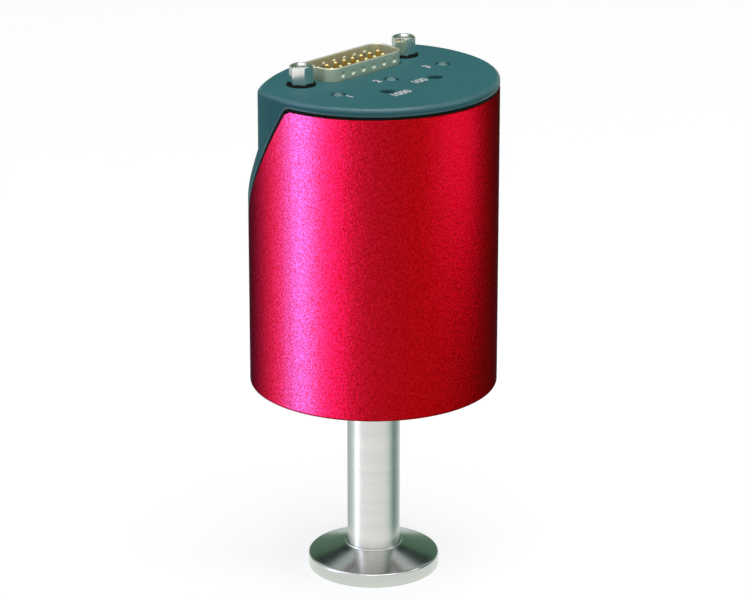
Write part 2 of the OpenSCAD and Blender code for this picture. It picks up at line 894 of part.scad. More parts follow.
module plug_insulator() {
    color([0.12, 0.09, 0.07])
    difference() {
        translate([0, 0, board_top])
        linear_extrude(height = insulator_top - board_top)
        plug_outline(-fit_gap);
        pegs(pin_places, pin_d + 2 * fit_gap, board_top - over, insulator_top + over);
    }
}

module plug_pins() {
    color([0.86, 0.66, 0.27])
    for (place = pin_places)
        translate([place.x, place.y, 0]) {
            translate([0, 0, board_z - solder_tail])
            cylinder(d = pin_d, h = pin_tip - pin_d / 2 - board_z + solder_tail);
            translate([0, 0, pin_tip - pin_d / 2])
            sphere(d = pin_d);
        }
}

module jackscrews() {
    shank_z = plug_flange_z - nut_h - thread_tail;
    color([0.8, 0.8, 0.78])
    for (place = posts)
        translate([place.x, place.y, 0])
        difference() {
            union() {
                hex_bar(hex_af, seat_z, seat_z + hex_h, turned_edge);
                translate([0, 0, shank_z])
                cylinder(d = shank_d, h = seat_z - shank_z + over);
            }
            translate([0, 0, seat_z + hex_h - tap_h])
            cylinder(d = tap_d, h = tap_h + over);
        }
}

module jackscrew_nuts() {
    color([0.72, 0.72, 0.7])
    for (place = posts)
        translate([place.x, place.y, 0])
        difference() {
            hex_bar(nut_af, plug_flange_z - nut_h, plug_flange_z, turned_edge);
            translate([0, 0, plug_flange_z - nut_h - over])
            cylinder(d = shank_d + 2 * fit_gap, h = nut_h + 2 * over);
        }
}

module status_lamp(i) {
    dome_z = cap_z + lamp_proud - lamp_d / 2;
    color([0.55, 0.66, 0.66])
    translate([i * lamp_pitch, lamp_y, 0]) {
        translate([0, 0, lamp_foot_z]) cylinder(d = lamp_foot_d, h = lamp_foot_h);
        translate([0, 0, lamp_foot_z]) cylinder(d = lamp_d, h = dome_z - lamp_foot_z);
        translate([0, 0, dome_z]) sphere(d = lamp_d);
    }
}

module lamp_legs_set() {
    color([0.75, 0.75, 0.74])
    pegs(lamp_legs, lamp_leg_d, board_z - solder_tail, lamp_foot_z);
}

// A push switch on the board, hollow under its lid for the key's shoulder and travel
module key_switch(side) {
    hollow_h = stop_gap + shoulder_h + key_travel + stop_gap;
    color([0.1, 0.1, 0.11])
    translate([side * key_spacing / 2, key_y, board_top])
    difference() {
        translate([-switch_w / 2, -switch_w / 2, 0])
        cube([switch_w, switch_w, switch_h]);
        translate([0, 0, switch_h - lid_t - hollow_h]) {
            cylinder(r = key_d / 2 + shoulder_w + key_gap, h = hollow_h);
            cylinder(r = key_d / 2 + key_gap, h = hollow_h + lid_t + over);
        }
    }
}

// The key itself, held under the switch's lid by its shoulder
module adjust_key(side) {
    shoulder_z = board_top + switch_h - lid_t - stop_gap - shoulder_h;
    color([0.09, 0.09, 0.1])
    translate([side * key_spacing / 2, key_y, 0]) {
        translate([0, 0, shoulder_z])
        cylinder(r = key_d / 2 + shoulder_w, h = shoulder_h);
        rounded_disc(key_d / 2, key_top, shoulder_z, key_edge);
    }
}

kf_flange();
measuring_tube();
tube_collar();
tube_nut();
header_disc();
glass_seals();
feedthrough_pins();
filament();
base_plate();
base_screws();
tie_rods();
boss_inserts();
sleeve();
sleeve_gasket();
cap();
connector_board();
main_board();
sensor_socket();
link_strip();
link_pins_row();
microcontroller();
amplifier();
regulator();
smoothing_capacitor();
choke();
plug_shell();
plug_rear_shell();
plug_insulator();
plug_pins();
jackscrews();
jackscrew_nuts();
status_lamp(-1);  // lamp_left
status_lamp(0);  // lamp_centre
status_lamp(1);  // lamp_right
lamp_legs_set();
key_switch(-1);  // key_switch_left
key_switch(1);  // key_switch_right
adjust_key(-1);  // adjust_key_left
adjust_key(1);  // adjust_key_right
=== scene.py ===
# %% [markdown]
# A vacuum gauge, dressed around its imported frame. The frame holds every solid at its true size,
# in metres, standing on its clamp flange with the tube along +Z. This lesson keeps those sizes and
# gives each piece that can be seen its real edges and its real finish.

# %% load the frame
import json
import math

import bmesh
import bpy
from mathutils import Matrix, Vector


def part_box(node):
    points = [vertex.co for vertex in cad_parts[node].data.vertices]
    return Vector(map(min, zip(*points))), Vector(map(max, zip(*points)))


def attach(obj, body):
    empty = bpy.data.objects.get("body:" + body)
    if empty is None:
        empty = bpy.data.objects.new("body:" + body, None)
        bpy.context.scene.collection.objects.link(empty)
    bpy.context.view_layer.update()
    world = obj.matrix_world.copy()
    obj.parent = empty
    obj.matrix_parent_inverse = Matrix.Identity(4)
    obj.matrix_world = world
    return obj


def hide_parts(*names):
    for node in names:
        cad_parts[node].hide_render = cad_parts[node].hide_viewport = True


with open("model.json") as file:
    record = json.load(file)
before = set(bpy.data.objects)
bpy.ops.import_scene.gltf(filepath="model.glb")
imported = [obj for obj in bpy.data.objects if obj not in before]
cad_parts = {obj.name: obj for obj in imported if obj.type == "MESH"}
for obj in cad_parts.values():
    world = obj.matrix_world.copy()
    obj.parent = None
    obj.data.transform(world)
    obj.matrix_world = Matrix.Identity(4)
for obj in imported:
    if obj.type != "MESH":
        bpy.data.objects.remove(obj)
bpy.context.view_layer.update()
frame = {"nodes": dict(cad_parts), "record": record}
scene = bpy.context.scene
MM = 0.001

# %% [markdown]
# The camera stands in front of the left side of the gauge and looks down on it a little. A long
# lens from 0.8 m keeps the walls of the housing nearly parallel. The aim is moved by turning the
# camera, so the lens needs no shift and other views stay centred.

# %% camera
VIEW_AZIMUTH = math.radians(-47.4)
VIEW_ELEVATION = math.radians(19.5)
VIEW_DISTANCE = 0.8
FOCAL_PIXELS = 3540.0
IMAGE_W, IMAGE_H = 750.0, 600.0
SENSOR_MM = 36.0
NEAREST, FARTHEST = 0.05, 20
PIVOT = Vector((0, 0, 60 * MM))
PIVOT_PIXEL = (373.5, 317.7)

view_flat = Vector((math.sin(VIEW_AZIMUTH), -math.cos(VIEW_AZIMUTH), 0))
view_right = Vector((math.cos(VIEW_AZIMUTH), math.sin(VIEW_AZIMUTH), 0))
view_back = view_flat * math.cos(VIEW_ELEVATION) + Vector((0, 0, math.sin(VIEW_ELEVATION)))
view_up = view_back.cross(view_right)


def add_camera():
    data = bpy.data.cameras.new("camera")
    data.sensor_width = SENSOR_MM
    data.lens = FOCAL_PIXELS * SENSOR_MM / IMAGE_W
    data.clip_start, data.clip_end = NEAREST, FARTHEST
    camera = bpy.data.objects.new("camera", data)
    scene.collection.objects.link(camera)
    per_pixel = VIEW_DISTANCE / FOCAL_PIXELS
    aim = PIVOT + view_right * (IMAGE_W / 2 - PIVOT_PIXEL[0]) * per_pixel
    aim += view_up * (PIVOT_PIXEL[1] - IMAGE_H / 2) * per_pixel
    camera.location = PIVOT + view_back * VIEW_DISTANCE
    camera.rotation_euler = (aim - camera.location).to_track_quat("-Z", "Y").to_euler()
    scene.camera = camera
    return camera


print("lens in mm:", round(add_camera().data.lens, 1))

# %% [markdown]
# The part stands on a pale floor. The floor glows a little for the camera, so it reads as white and
# still keeps a shadow, and from below it is clear. Bare metal would show it as one grey sheet, so
# reflections don't see it. They see a small sheet of white paper under the flange instead.

# %% floor and paper
FLOOR_SIZE, FLOOR_GREY, FLOOR_GLOW = 4.0, (0.45, 0.45, 0.45, 1), 0.76
PAPER_R, PAPER_LIFT, PAPER_STEPS = 0.023, 0.0002, 64
PAPER_COLOUR = (0.95, 0.98, 0.93, 1)


def new_nodes(tree, *kinds):
    """Adds nodes by their type names and returns them in that order."""
    return [tree.nodes.new("ShaderNode" + kind) for kind in kinds]


def join(tree, *pairs):
    """Links each pair of an output and an input."""
    for source, target in pairs:
        tree.links.new(source, target)


def link_mesh(bm, name):
    """Turns a bmesh into an object of the scene."""
    mesh = bpy.data.meshes.new(name)
    bm.to_mesh(mesh)
    bm.free()
    piece = bpy.data.objects.new(name, mesh)
    scene.collection.objects.link(piece)
    return piece


def bare_material(piece):
    """Gives a studio piece a material that has no nodes yet, and returns the material's tree."""
    finish = bpy.data.materials.new(piece.name)
    finish.use_nodes = True
    finish.node_tree.nodes.clear()
    piece.data.materials.append(finish)
    return finish.node_tree


def lay_floor():
    bm = bmesh.new()
    bmesh.ops.create_grid(bm, x_segments=1, y_segments=1, size=FLOOR_SIZE)
    floor = link_mesh(bm, "studio_floor")
    tree = bare_material(floor)
    out, add, matt, glow, path, power, side, clear, mix = new_nodes(
        tree, "OutputMaterial", "AddShader", "BsdfDiffuse", "Emission", "LightPath", "Math",
        "NewGeometry", "BsdfTransparent", "MixShader")
    matt.inputs["Color"].default_value = FLOOR_GREY
    power.operation = "MULTIPLY"
    power.inputs[1].default_value = FLOOR_GLOW
    join(
        tree,
        (path.outputs["Is Camera Ray"], power.inputs[0]),
        (power.outputs[0], glow.inputs["Strength"]),
        (matt.outputs[0], add.inputs[0]),
        (glow.outputs[0], add.inputs[1]),
        (side.outputs["Backfacing"], mix.inputs[0]),
        (add.outputs[0], mix.inputs[1]),
        (clear.outputs[0], mix.inputs[2]),
        (mix.outputs[0], out.inputs["Surface"]),
    )
    floor.visible_glossy = False


def lay_paper():
    bm = bmesh.new()
    bmesh.ops.create_circle(bm, cap_ends=True, segments=PAPER_STEPS, radius=PAPER_R)
    paper = link_mesh(bm, "studio_paper")
    paper.location.z = PAPER_LIFT
    tree = bare_material(paper)
    out, glow = new_nodes(tree, "OutputMaterial", "Emission")
    glow.inputs["Color"].default_value = PAPER_COLOUR
    join(tree, (glow.outputs[0], out.inputs["Surface"]))
    paper.visible_camera = paper.visible_diffuse = paper.visible_shadow = False


scene.view_settings.view_transform = "Standard"
lay_floor()
lay_paper()
print("floor size:", FLOOR_SIZE, "paper radius:", PAPER_R)

# %% [markdown]
# Bare metal shows what stands around it, so for reflections the world is a ring of pale walls. A
# bright panel on the left draws the light stripe along the steel tube, and a dark gap on the right
# draws its dark band. A dark curtain behind the part puts the dark wedges on the flange's cone.

# %% walls that reflections see
# Colour of the studio's walls by the angle from the camera, to the left and to the right.
STUDIO_WALLS = [
    (-180, (0.66, 0.72, 0.70)), (-150, (0.45, 0.52, 0.50)), (-120, (0.55, 0.62, 0.60)),
    (-98, (0.80, 0.85, 0.86)), (-86, (1.1, 1.15, 1.2)), (-82, (2.4, 2.4, 2.8)),
    (-74, (2.4, 2.4, 2.8)), (-68, (1.1, 1.1, 1.15)), (-46, (0.98, 0.97, 0.97)),
    (30, (0.90, 0.90, 0.88)), (58, (0.82, 0.85, 0.82)), (80, (0.52, 0.60, 0.57)),
    (94, (0.22, 0.30, 0.285)), (110, (0.22, 0.30, 0.285)), (126, (0.40, 0.48, 0.46)),
    (142, (0.58, 0.64, 0.62)), (180, (0.66, 0.72, 0.70)),
]
# How much the curtain covers, and its colour, by the angle above the floor.
CURTAIN = [
    (0, 0, (0.14, 0.24, 0.16)), (4, 1, (0.14, 0.24, 0.16)), (28, 1, (0.1, 0.18, 0.12)),
    (33, 1, (0.01, 0.02, 0.02)), (41, 1, (0.01, 0.02, 0.02)), (44, 0, (0.01, 0.02, 0.02)),
]
CURTAIN_EDGE, CURTAIN_FULL = -0.5, -0.62
WALL_GLOW = 6.0


def dimmed(colour):
    """A ramp holds shares of one glow, which the Background shader multiplies in again."""
    return [part / WALL_GLOW for part in colour]


def set_stops(ramp, rows):
    """Sets the stops of a colour ramp from rows of a place and a colour."""
    stops = ramp.color_ramp.elements
    while len(stops) < len(rows):
        stops.new(1.0)
    for stop, (place, colour) in zip(stops, rows):
        stop.position = place
        stop.color = (*colour, 1)


def wall_colours(tree):
    """What a reflection sees in each direction: the ring of walls, with the curtain before it."""
    place, turn, ring, walls, split, behind, cover, cloth, covered, hung = new_nodes(
        tree, "TexCoord", "Mapping", "TexGradient", "ValToRGB", "SeparateXYZ", "MapRange", "ValToRGB",
        "ValToRGB", "Math", "Mix")
    turn.inputs["Rotation"].default_value[2] = -math.atan2(view_flat.y, view_flat.x)
    ring.gradient_type = "RADIAL"
    set_stops(walls, [(angle / 360 + 0.5, dimmed(colour)) for angle, colour in STUDIO_WALLS])
    risen = [(math.sin(math.radians(angle)), share, colour) for angle, share, colour in CURTAIN]
    set_stops(cover, [(height, [share] * 3) for height, share, colour in risen])
    set_stops(cloth, [(height, dimmed(colour)) for height, share, colour in risen])
    behind.inputs["From Min"].default_value = CURTAIN_EDGE
    behind.inputs["From Max"].default_value = CURTAIN_FULL
    covered.operation = "MULTIPLY"
    hung.data_type = "RGBA"
    join(
        tree,
        (place.outputs["Generated"], turn.inputs["Vector"]),
        (turn.outputs[0], ring.inputs["Vector"]),
        (ring.outputs["Fac"], walls.inputs["Fac"]),
        (turn.outputs[0], split.inputs[0]),
        (split.outputs["X"], behind.inputs["Value"]),
        (split.outputs["Z"], cover.inputs["Fac"]),
        (split.outputs["Z"], cloth.inputs["Fac"]),
        (behind.outputs["Result"], covered.inputs[0]),
        (cover.outputs["Color"], covered.inputs[1]),
        (covered.outputs[0], hung.inputs["Factor"]),
        (walls.outputs["Color"], hung.inputs["A"]),
        (cloth.outputs["Color"], hung.inputs["B"]),
    )
    return hung.outputs["Result"]


print("wall colours:", len(STUDIO_WALLS), "curtain rows:", len(CURTAIN))

# %% [markdown]
# The world tells rays apart with a Light Path node. Reflections see the walls, the camera sees plain
# white, and all other rays get a weak even fill, so that no shadow is black.

# %% world
FILL_LEVEL = 0.25
WHITE = (1, 1, 1, 1)


def hang_world():
    world = bpy.data.worlds.new("studio")
    world.use_nodes = True
    tree = world.node_tree
    tree.nodes.clear()
    out, fill, shine, plain, mix_shine, mix_camera, path, sharp = new_nodes(
        tree, "OutputWorld", "Background", "Background", "Background", "MixShader", "MixShader",
        "LightPath", "Math")
    fill.inputs["Color"].default_value = plain.inputs["Color"].default_value = WHITE
    fill.inputs["Strength"].default_value = FILL_LEVEL
    shine.inputs["Strength"].default_value = WALL_GLOW
    sharp.operation = "MAXIMUM"
    join(
        tree,
        (wall_colours(tree), shine.inputs["Color"]),
        (path.outputs["Is Glossy Ray"], sharp.inputs[0]),
        (path.outputs["Is Transmission Ray"], sharp.inputs[1]),
        (sharp.outputs[0], mix_shine.inputs[0]),
        (fill.outputs[0], mix_shine.inputs[1]),
        (shine.outputs[0], mix_shine.inputs[2]),
        (path.outputs["Is Camera Ray"], mix_camera.inputs[0]),
        (mix_shine.outputs[0], mix_camera.inputs[1]),
        (plain.outputs[0], mix_camera.inputs[2]),
        (mix_camera.outputs[0], out.inputs["Surface"]),
    )
    return world


scene.world = hang_world()
print("world:", len(scene.world.node_tree.nodes), "nodes")

# %% [markdown]
# Three softboxes light the part: a tall one with a cool tint on the left, a small one on the right
# and a wide one overhead. Each turns towards the middle of the part. The camera doesn't see them.

# %% lamps
# Name, angle to the right of the camera, height, distance, width, tallness, glow and colour.
SOFTBOXES = [
    ("softbox_left", -74, 0.42, 1.0, 0.34, 0.7, 0.8, (0.15, 0.85, 1.6)),
    ("softbox_right", 84, 0.62, 1.0, 0.22, 0.4, 2.5, (1, 1, 1)),
    ("softbox_top", 20, 1.3, 0.25, 0.9, 0.9, 2.5, (1, 1, 1)),
]


def hang_softbox(name, side_angle, height, distance, width, tall, glow, colour):
    """A softbox whose glow is the light that leaves each part of its front."""
    data = bpy.data.lights.new(name, "AREA")
    data.shape = "RECTANGLE"
    data.size, data.size_y = width, tall
    data.energy = glow * math.pi * width * tall
    data.color = colour
    lamp = bpy.data.objects.new(name, data)
    scene.collection.objects.link(lamp)
    turn = math.radians(side_angle)
    flat = view_flat * math.cos(turn) + view_right * math.sin(turn)
    lamp.location = flat * distance + Vector((0, 0, height))
    lamp.rotation_euler = (PIVOT - lamp.location).to_track_quat("-Z", "Y").to_euler()
    lamp.visible_camera = False
    return lamp


print("lamps:", [hang_softbox(*row).name for row in SOFTBOXES])

# %% [markdown]
# Some effects are shared by several finishes, so they are built once as shader node groups. Each
# group reads the piece's own coordinates, which are the frame's metres, so a grain of a third of a
# millimetre is that size on every piece. A group puts out only masks and heights.

# %% shared surface effects
GRAIN_DETAIL, GRAIN_HARSHNESS = 3, 0.6
CLOUD_PER_METRE, CLOUD_DETAIL = 90, 4
LINE_DETAIL = 2
BAND_PER_METRE, BAND_DETAIL = 420, 1


def make_group(name, *outputs):
    """A shader node group with one input, how many grains or lines go to the metre."""
    group = bpy.data.node_groups.new(name, "ShaderNodeTree")
    group.interface.new_socket("Per metre", in_out="INPUT", socket_type="NodeSocketFloat")
    for label in outputs:
        group.interface.new_socket(label, in_out="OUTPUT", socket_type="NodeSocketFloat")
    return group, group.nodes.new("NodeGroupInput"), group.nodes.new("NodeGroupOutput")


def grain_group():
    """Blasted or spark-eroded grain, with a slow cloudiness over it."""
    group, given, result = make_group("blasted_grain", "Height", "Cloud")
    place, fine, cloud = new_nodes(group, "TexCoord", "TexNoise", "TexNoise")
    fine.inputs["Detail"].default_value = GRAIN_DETAIL
    fine.inputs["Roughness"].default_value = GRAIN_HARSHNESS
    cloud.inputs["Scale"].default_value = CLOUD_PER_METRE
    cloud.inputs["Detail"].default_value = CLOUD_DETAIL
    join(
        group,
        (place.outputs["Object"], fine.inputs["Vector"]),
        (place.outputs["Object"], cloud.inputs["Vector"]),
        (given.outputs["Per metre"], fine.inputs["Scale"]),
        (fine.outputs["Fac"], result.inputs["Height"]),
        (cloud.outputs["Fac"], result.inputs["Cloud"]),
    )
    return group


def turning_group():
    """Fine tool lines that run round the axis, on faces and on walls alike."""
    group, given, result = make_group("turning_lines", "Lines", "Bands")
    place, split, flat, far, unrolled, fine, wide = new_nodes(
        group, "TexCoord", "SeparateXYZ", "CombineXYZ", "VectorMath", "CombineXYZ", "TexNoise",
        "TexNoise")
    far.operation = "LENGTH"
    fine.inputs["Detail"].default_value = LINE_DETAIL
    wide.inputs["Scale"].default_value = BAND_PER_METRE
    wide.inputs["Detail"].default_value = BAND_DETAIL
    join(
        group,
        (place.outputs["Object"], split.inputs[0]),
        (split.outputs["X"], flat.inputs["X"]),
        (split.outputs["Y"], flat.inputs["Y"]),
        (flat.outputs[0], far.inputs[0]),
        (far.outputs["Value"], unrolled.inputs["X"]),
        (split.outputs["Z"], unrolled.inputs["Y"]),
        (unrolled.outputs[0], fine.inputs["Vector"]),
        (unrolled.outputs[0], wide.inputs["Vector"]),
        (given.outputs["Per metre"], fine.inputs["Scale"]),
        (fine.outputs["Fac"], result.inputs["Lines"]),
        (wide.outputs["Fac"], result.inputs["Bands"]),
    )
    return group


blasted_grain = grain_group()
turning_lines = turning_group()
print("shared effects:", blasted_grain.name, turning_lines.name)

# %% [markdown]
# A small kit keeps the finishes short: one call opens a material with its shader, one places a
# shared effect, one stretches a mask to a range for roughness, one mixes two colours by a mask and
# one turns a height into a bump.

# %% finish kit
MICRON = 0.000001
FINISHES = {}


def open_finish(name, colour, roughness, metallic=0.0, **sockets):
    """A material with a Principled shader and its constant values set on the shader itself."""
    finish = bpy.data.materials.new(name)
    finish.use_nodes = True
    shader = finish.node_tree.nodes["Principled BSDF"]
    shader.inputs["Base Color"].default_value = (*colour, 1)
    shader.inputs["Metallic"].default_value = metallic
    shader.inputs["Roughness"].default_value = roughness
    for label, value in sockets.items():
        shader.inputs[label.replace("_", " ")].default_value = value
    FINISHES[name] = finish
    return finish.node_tree, shader


def place_group(tree, group, per_metre):
    node = tree.nodes.new("ShaderNodeGroup")
    node.node_tree = group
    node.inputs["Per metre"].default_value = per_metre
    return node.outputs


def stretch(tree, mask, reach=(0, 1), span=(0.3, 0.7)):
    """Maps a span of a mask to the reach of values that is wanted."""
    node = tree.nodes.new("ShaderNodeMapRange")
    for label, value in zip(("From Min", "From Max", "To Min", "To Max"), (*span, *reach)):
        node.inputs[label].default_value = value
    join(tree, (mask, node.inputs["Value"]))
    return node.outputs["Result"]


def blend_colours(tree, mask, first, second):
    node = tree.nodes.new("ShaderNodeMix")
    node.data_type = "RGBA"
    node.inputs["A"].default_value = (*first, 1)
    node.inputs["B"].default_value = (*second, 1)
    join(tree, (mask, node.inputs["Factor"]))
    return node


def raise_bump(tree, shader, height, microns):
    node = tree.nodes.new("ShaderNodeBump")
    node.inputs["Strength"].default_value = 1.0
    node.inputs["Distance"].default_value = microns * MICRON
    join(tree, (height, node.inputs["Height"]), (node.outputs["Normal"], shader.inputs["Normal"]))


print("finish kit: depths are given in parts of", MICRON, "m")

# %% [markdown]
# Most finishes are of two kinds. Turned metal has tool lines round the axis. Plastic, rubber and plated
# metal have a grain, and the cap's moulding also has a painted highlight along its rounded edges: its
# colour is painted paler there, and a glossy coat is laid on.

# %% turned and grained finishes
# The cap's painted highlight: an attribute of the mesh says where, and there the colour is painted
# paler and a glossy coat is laid on.
HIGHLIGHT_ATTRIBUTE = "painted_highlight"
HIGHLIGHT_PALENESS, HIGHLIGHT_COAT, HIGHLIGHT_SPAN = (0, 0.5), (0, 0.9), (0, 1)


def textured_finish(name, light, dark, roughness, microns, group, per_metre, labels, **sockets):
    """A finish whose shared effect varies its tone, its roughness and its surface."""
    tree, shader = open_finish(name, light, sum(roughness) / 2, **sockets)
    effect = place_group(tree, group, per_metre)
    height, tone = (effect[label] for label in labels)
    tones = blend_colours(tree, stretch(tree, tone), light, dark)
    join(
        tree,
        (tones.outputs["Result"], shader.inputs["Base Color"]),
        (stretch(tree, height, roughness), shader.inputs["Roughness"]),
    )
    raise_bump(tree, shader, height, microns)
    return tree, shader, tones.outputs["Result"]


def steel_finish(name, light, dark, roughness, per_metre, microns, **sockets):
    """Bare metal with tool lines."""
    return textured_finish(
        name, light, dark, roughness, microns, turning_lines, per_metre, ("Lines", "Bands"),
        metallic=1.0, **sockets)


def grain_finish(name, light, dark, roughness, per_metre, microns, **sockets):
    """A grained surface: plastic, rubber or plated metal."""
    return textured_finish(
        name, light, dark, roughness, microns, blasted_grain, per_metre, ("Height", "Cloud"),
        **sockets)


def moulded_finish(name, light, dark, highlighted, roughness, per_metre, microns, **sockets):
    """A grained moulding with a painted highlight: paler colour and a glossy coat where the piece's
    attribute says so.
    """
    tree, shader, tones = grain_finish(name, light, dark, roughness, per_metre, microns, **sockets)
    highlight_mask = tree.nodes.new("ShaderNodeAttribute")
    highlight_mask.attribute_name = HIGHLIGHT_ATTRIBUTE
    share = stretch(tree, highlight_mask.outputs["Fac"], HIGHLIGHT_PALENESS, HIGHLIGHT_SPAN)
    # Painted highlight: the colour turns paler where the attribute is high.
    paler = blend_colours(tree, share, light, highlighted)
    join(
        tree,
        (tones, paler.inputs["A"]),
        (paler.outputs["Result"], shader.inputs["Base Color"]),
        (stretch(tree, highlight_mask.outputs["Fac"], HIGHLIGHT_COAT, HIGHLIGHT_SPAN), shader.inputs["Coat Weight"]),
    )


print("rubbed places are read from the attribute:", HIGHLIGHT_ATTRIBUTE)

# %% [markdown]
# The sleeve's metal is a kind of its own. Its dye makes a speckle with the grain, and its colour is
# painted darker where the wall is seen at a slant, as painted shade at the sleeve's edges. A thin clear
# skin lies over the dye and glints grain by grain.

# %% dyed finish
# The colour is painted darker towards the edge colour where the wall is seen at a slant: painted shade
# at the sleeve's edges.
DYE_TINT, SLANT_BLEND = (0.5, 0.04, 0.05, 1), 0.35
EDGE_SHADE_SPAN, DYE_SPECKLE = (0.3, 0.75), (0.36, 0.64)
SKIN_ROUGHNESS, SKIN_WEIGHT = 0.4, (0.06, 0.006)
SKIN_SLANT, SKIN_GRAIN = (0.1, 0.8), (0.4, 1.6)


def anodised_finish(name, light, dark, edge, roughness, per_metre, microns):
    """Blasted and dyed aluminium. Where the wall is seen at a slant its colour is painted darker:
    painted shade at the edges.
    """
    tree, shader = open_finish(
        name, light, sum(roughness) / 2, 1.0, Specular_Tint=DYE_TINT, Coat_Roughness=SKIN_ROUGHNESS)
    height = place_group(tree, blasted_grain, per_metre)["Height"]
    slant, glint = new_nodes(tree, "LayerWeight", "Math")
    slant.inputs["Blend"].default_value = SLANT_BLEND
    glint.operation = "MULTIPLY"
    facing = slant.outputs["Facing"]
    speckle = blend_colours(tree, stretch(tree, height, span=DYE_SPECKLE), dark, light)
    # Painted shade: the colour turns to the dark edge colour where the wall is seen at a slant.
    to_painted_shade = blend_colours(tree, stretch(tree, facing, span=EDGE_SHADE_SPAN), light, edge)
    join(
        tree,
        (speckle.outputs["Result"], to_painted_shade.inputs["A"]),
        (to_painted_shade.outputs["Result"], shader.inputs["Base Color"]),
        (stretch(tree, facing, SKIN_WEIGHT, SKIN_SLANT), glint.inputs[0]),
        (stretch(tree, height, SKIN_GRAIN), glint.inputs[1]),
        (glint.outputs[0], shader.inputs["Coat Weight"]),
        (stretch(tree, height, roughness), shader.inputs["Roughness"]),
    )
    raise_bump(tree, shader, height, microns)


print("share of the skin, in front and at the edge:", SKIN_WEIGHT)

# %% [markdown]
# Now the finishes themselves. The sleeve is aluminium, blasted with fine beads and then anodised
# red: the dyed layer colours what the metal reflects, and the clear skin over it adds a pink
# gleam. The cap is a grey-green moulding with a spark-eroded texture. Every solid gets the finish
# of its material slot, also the ones inside that no view shows.

# %% finishes by material slot
# Name, light and dark tone, range of roughness, grains or lines to the metre, depth in microns.
steel_finish(
    "turned_steel", (0.64, 0.65, 0.63), (0.58, 0.59, 0.58), (0.1, 0.18), 5200, 5, Anisotropic=0.75)
steel_finish("tube_steel", (0.77, 0.77, 0.745), (0.71, 0.72, 0.705), (0.2, 0.28), 6000, 3)
# The sleeve's third colour is the painted shade at its edges.
anodised_finish(
    "red_anodised", (0.50, 0.0004, 0.0012), (0.34, 0.0001, 0.0003), (0.04, 0.0003, 0.0005),
    (0.34, 0.5), 2000, 120)
# The cap's third colour is its painted highlight, paler than the plastic, for its rounded edges.
moulded_finish(
    "cap_plastic", (0.046, 0.202, 0.220), (0.041, 0.186, 0.203), (0.10, 0.27, 0.30), (0.5, 0.65),
    4200, 50, Specular_IOR_Level=0.2, Coat_Roughness=0.25)
grain_finish(
    "gasket_rubber", (0.006, 0.006, 0.006), (0.01, 0.01, 0.01), (0.7, 0.85), 2600, 40,
    Specular_IOR_Level=0.12)
steel_finish(
    "base_aluminium", (0.62, 0.63, 0.65), (0.55, 0.56, 0.58), (0.28, 0.42), 3000, 10, Anisotropic=0.5)
grain_finish(
    "plated_steel", (0.94, 0.96, 0.77), (0.86, 0.89, 0.69), (0.3, 0.4), 1500, 1, metallic=0.7)
steel_finish("nickel_posts", (0.88, 0.89, 0.86), (0.8, 0.81, 0.78), (0.17, 0.21), 3000, 0.3)
steel_finish("fastener_steel", (0.5, 0.51, 0.52), (0.42, 0.43, 0.44), (0.25, 0.4), 4000, 10)
grain_finish(
    "gold_contact", (0.95, 0.73, 0.34), (0.87, 0.63, 0.26), (0.14, 0.24), 2500, 4, metallic=1.0)
steel_finish("insert_brass", (0.78, 0.56, 0.24), (0.68, 0.47, 0.18), (0.22, 0.34), 4000, 10)
grain_finish("dark_plastic", (0.028, 0.016, 0.01), (0.022, 0.012, 0.008), (0.38, 0.52), 2800, 30)
grain_finish("key_plastic", (0.015, 0.016, 0.018), (0.02, 0.021, 0.023), (0.32, 0.45), 3200, 20)
grain_finish("board_laminate", (0.02, 0.16, 0.075), (0.03, 0.2, 0.1), (0.25, 0.4), 900, 20)
grain_finish("lamp_lens", (0.17, 0.32, 0.32), (0.21, 0.38, 0.37), (0.22, 0.3), 800, 4, IOR=1.45)
grain_finish("seal_glass", (0.08, 0.24, 0.18), (0.1, 0.3, 0.22), (0.06, 0.12), 700, 10)
steel_finish("filament_wire", (0.4, 0.4, 0.43), (0.32, 0.32, 0.35), (0.3, 0.45), 5000, 4)
for row in frame["record"]["subparts"]:
    solid = frame["nodes"][row["node"]].data
    solid.materials.clear()
    solid.materials.append(FINISHES[row["material_slot"]])
print("finishes:", len(FINISHES))

# %% [markdown]
# Round pieces come from a lathe, and so do their models: the outline of one side is drawn as a
# face, its corners are rounded with a vertex bevel, the face is taken off and its edge is spun
# round the axis.

# %% lathe
ROUND_STEPS, CORNER_STEPS = 256, 4
MERGE = 0.0005 * MM


def merge(bm):
    bmesh.ops.remove_doubles(bm, verts=bm.verts, dist=MERGE)


def move(bm, x, y, z=0.0):
    """Moves a whole bmesh by lengths in mm."""
    bmesh.ops.translate(bm, verts=bm.verts, vec=(x * MM, y * MM, z * MM))


def round_off(bm, geom, radius, segments=3, affect="EDGES"):
    """Rounds edges or corners by a radius in mm."""
    bmesh.ops.bevel(
        bm, geom=geom, offset=radius * MM, offset_type="OFFSET", segments=segments, profile=0.5,
        affect=affect, material=-1)


def spin_round(bm, geom, steps, turns=1, climb=0.0):
    """Spins points and edges round the axis. A climb in mm to the step makes a helix of them."""
    bmesh.ops.spin(
        bm, geom=geom, cent=(0, 0, 0), axis=(0, 0, 1), dvec=(0, 0, climb * MM),
        angle=math.tau * turns, steps=steps * turns, use_merge=climb == 0, use_normal_flip=False,
        use_duplicate=False)


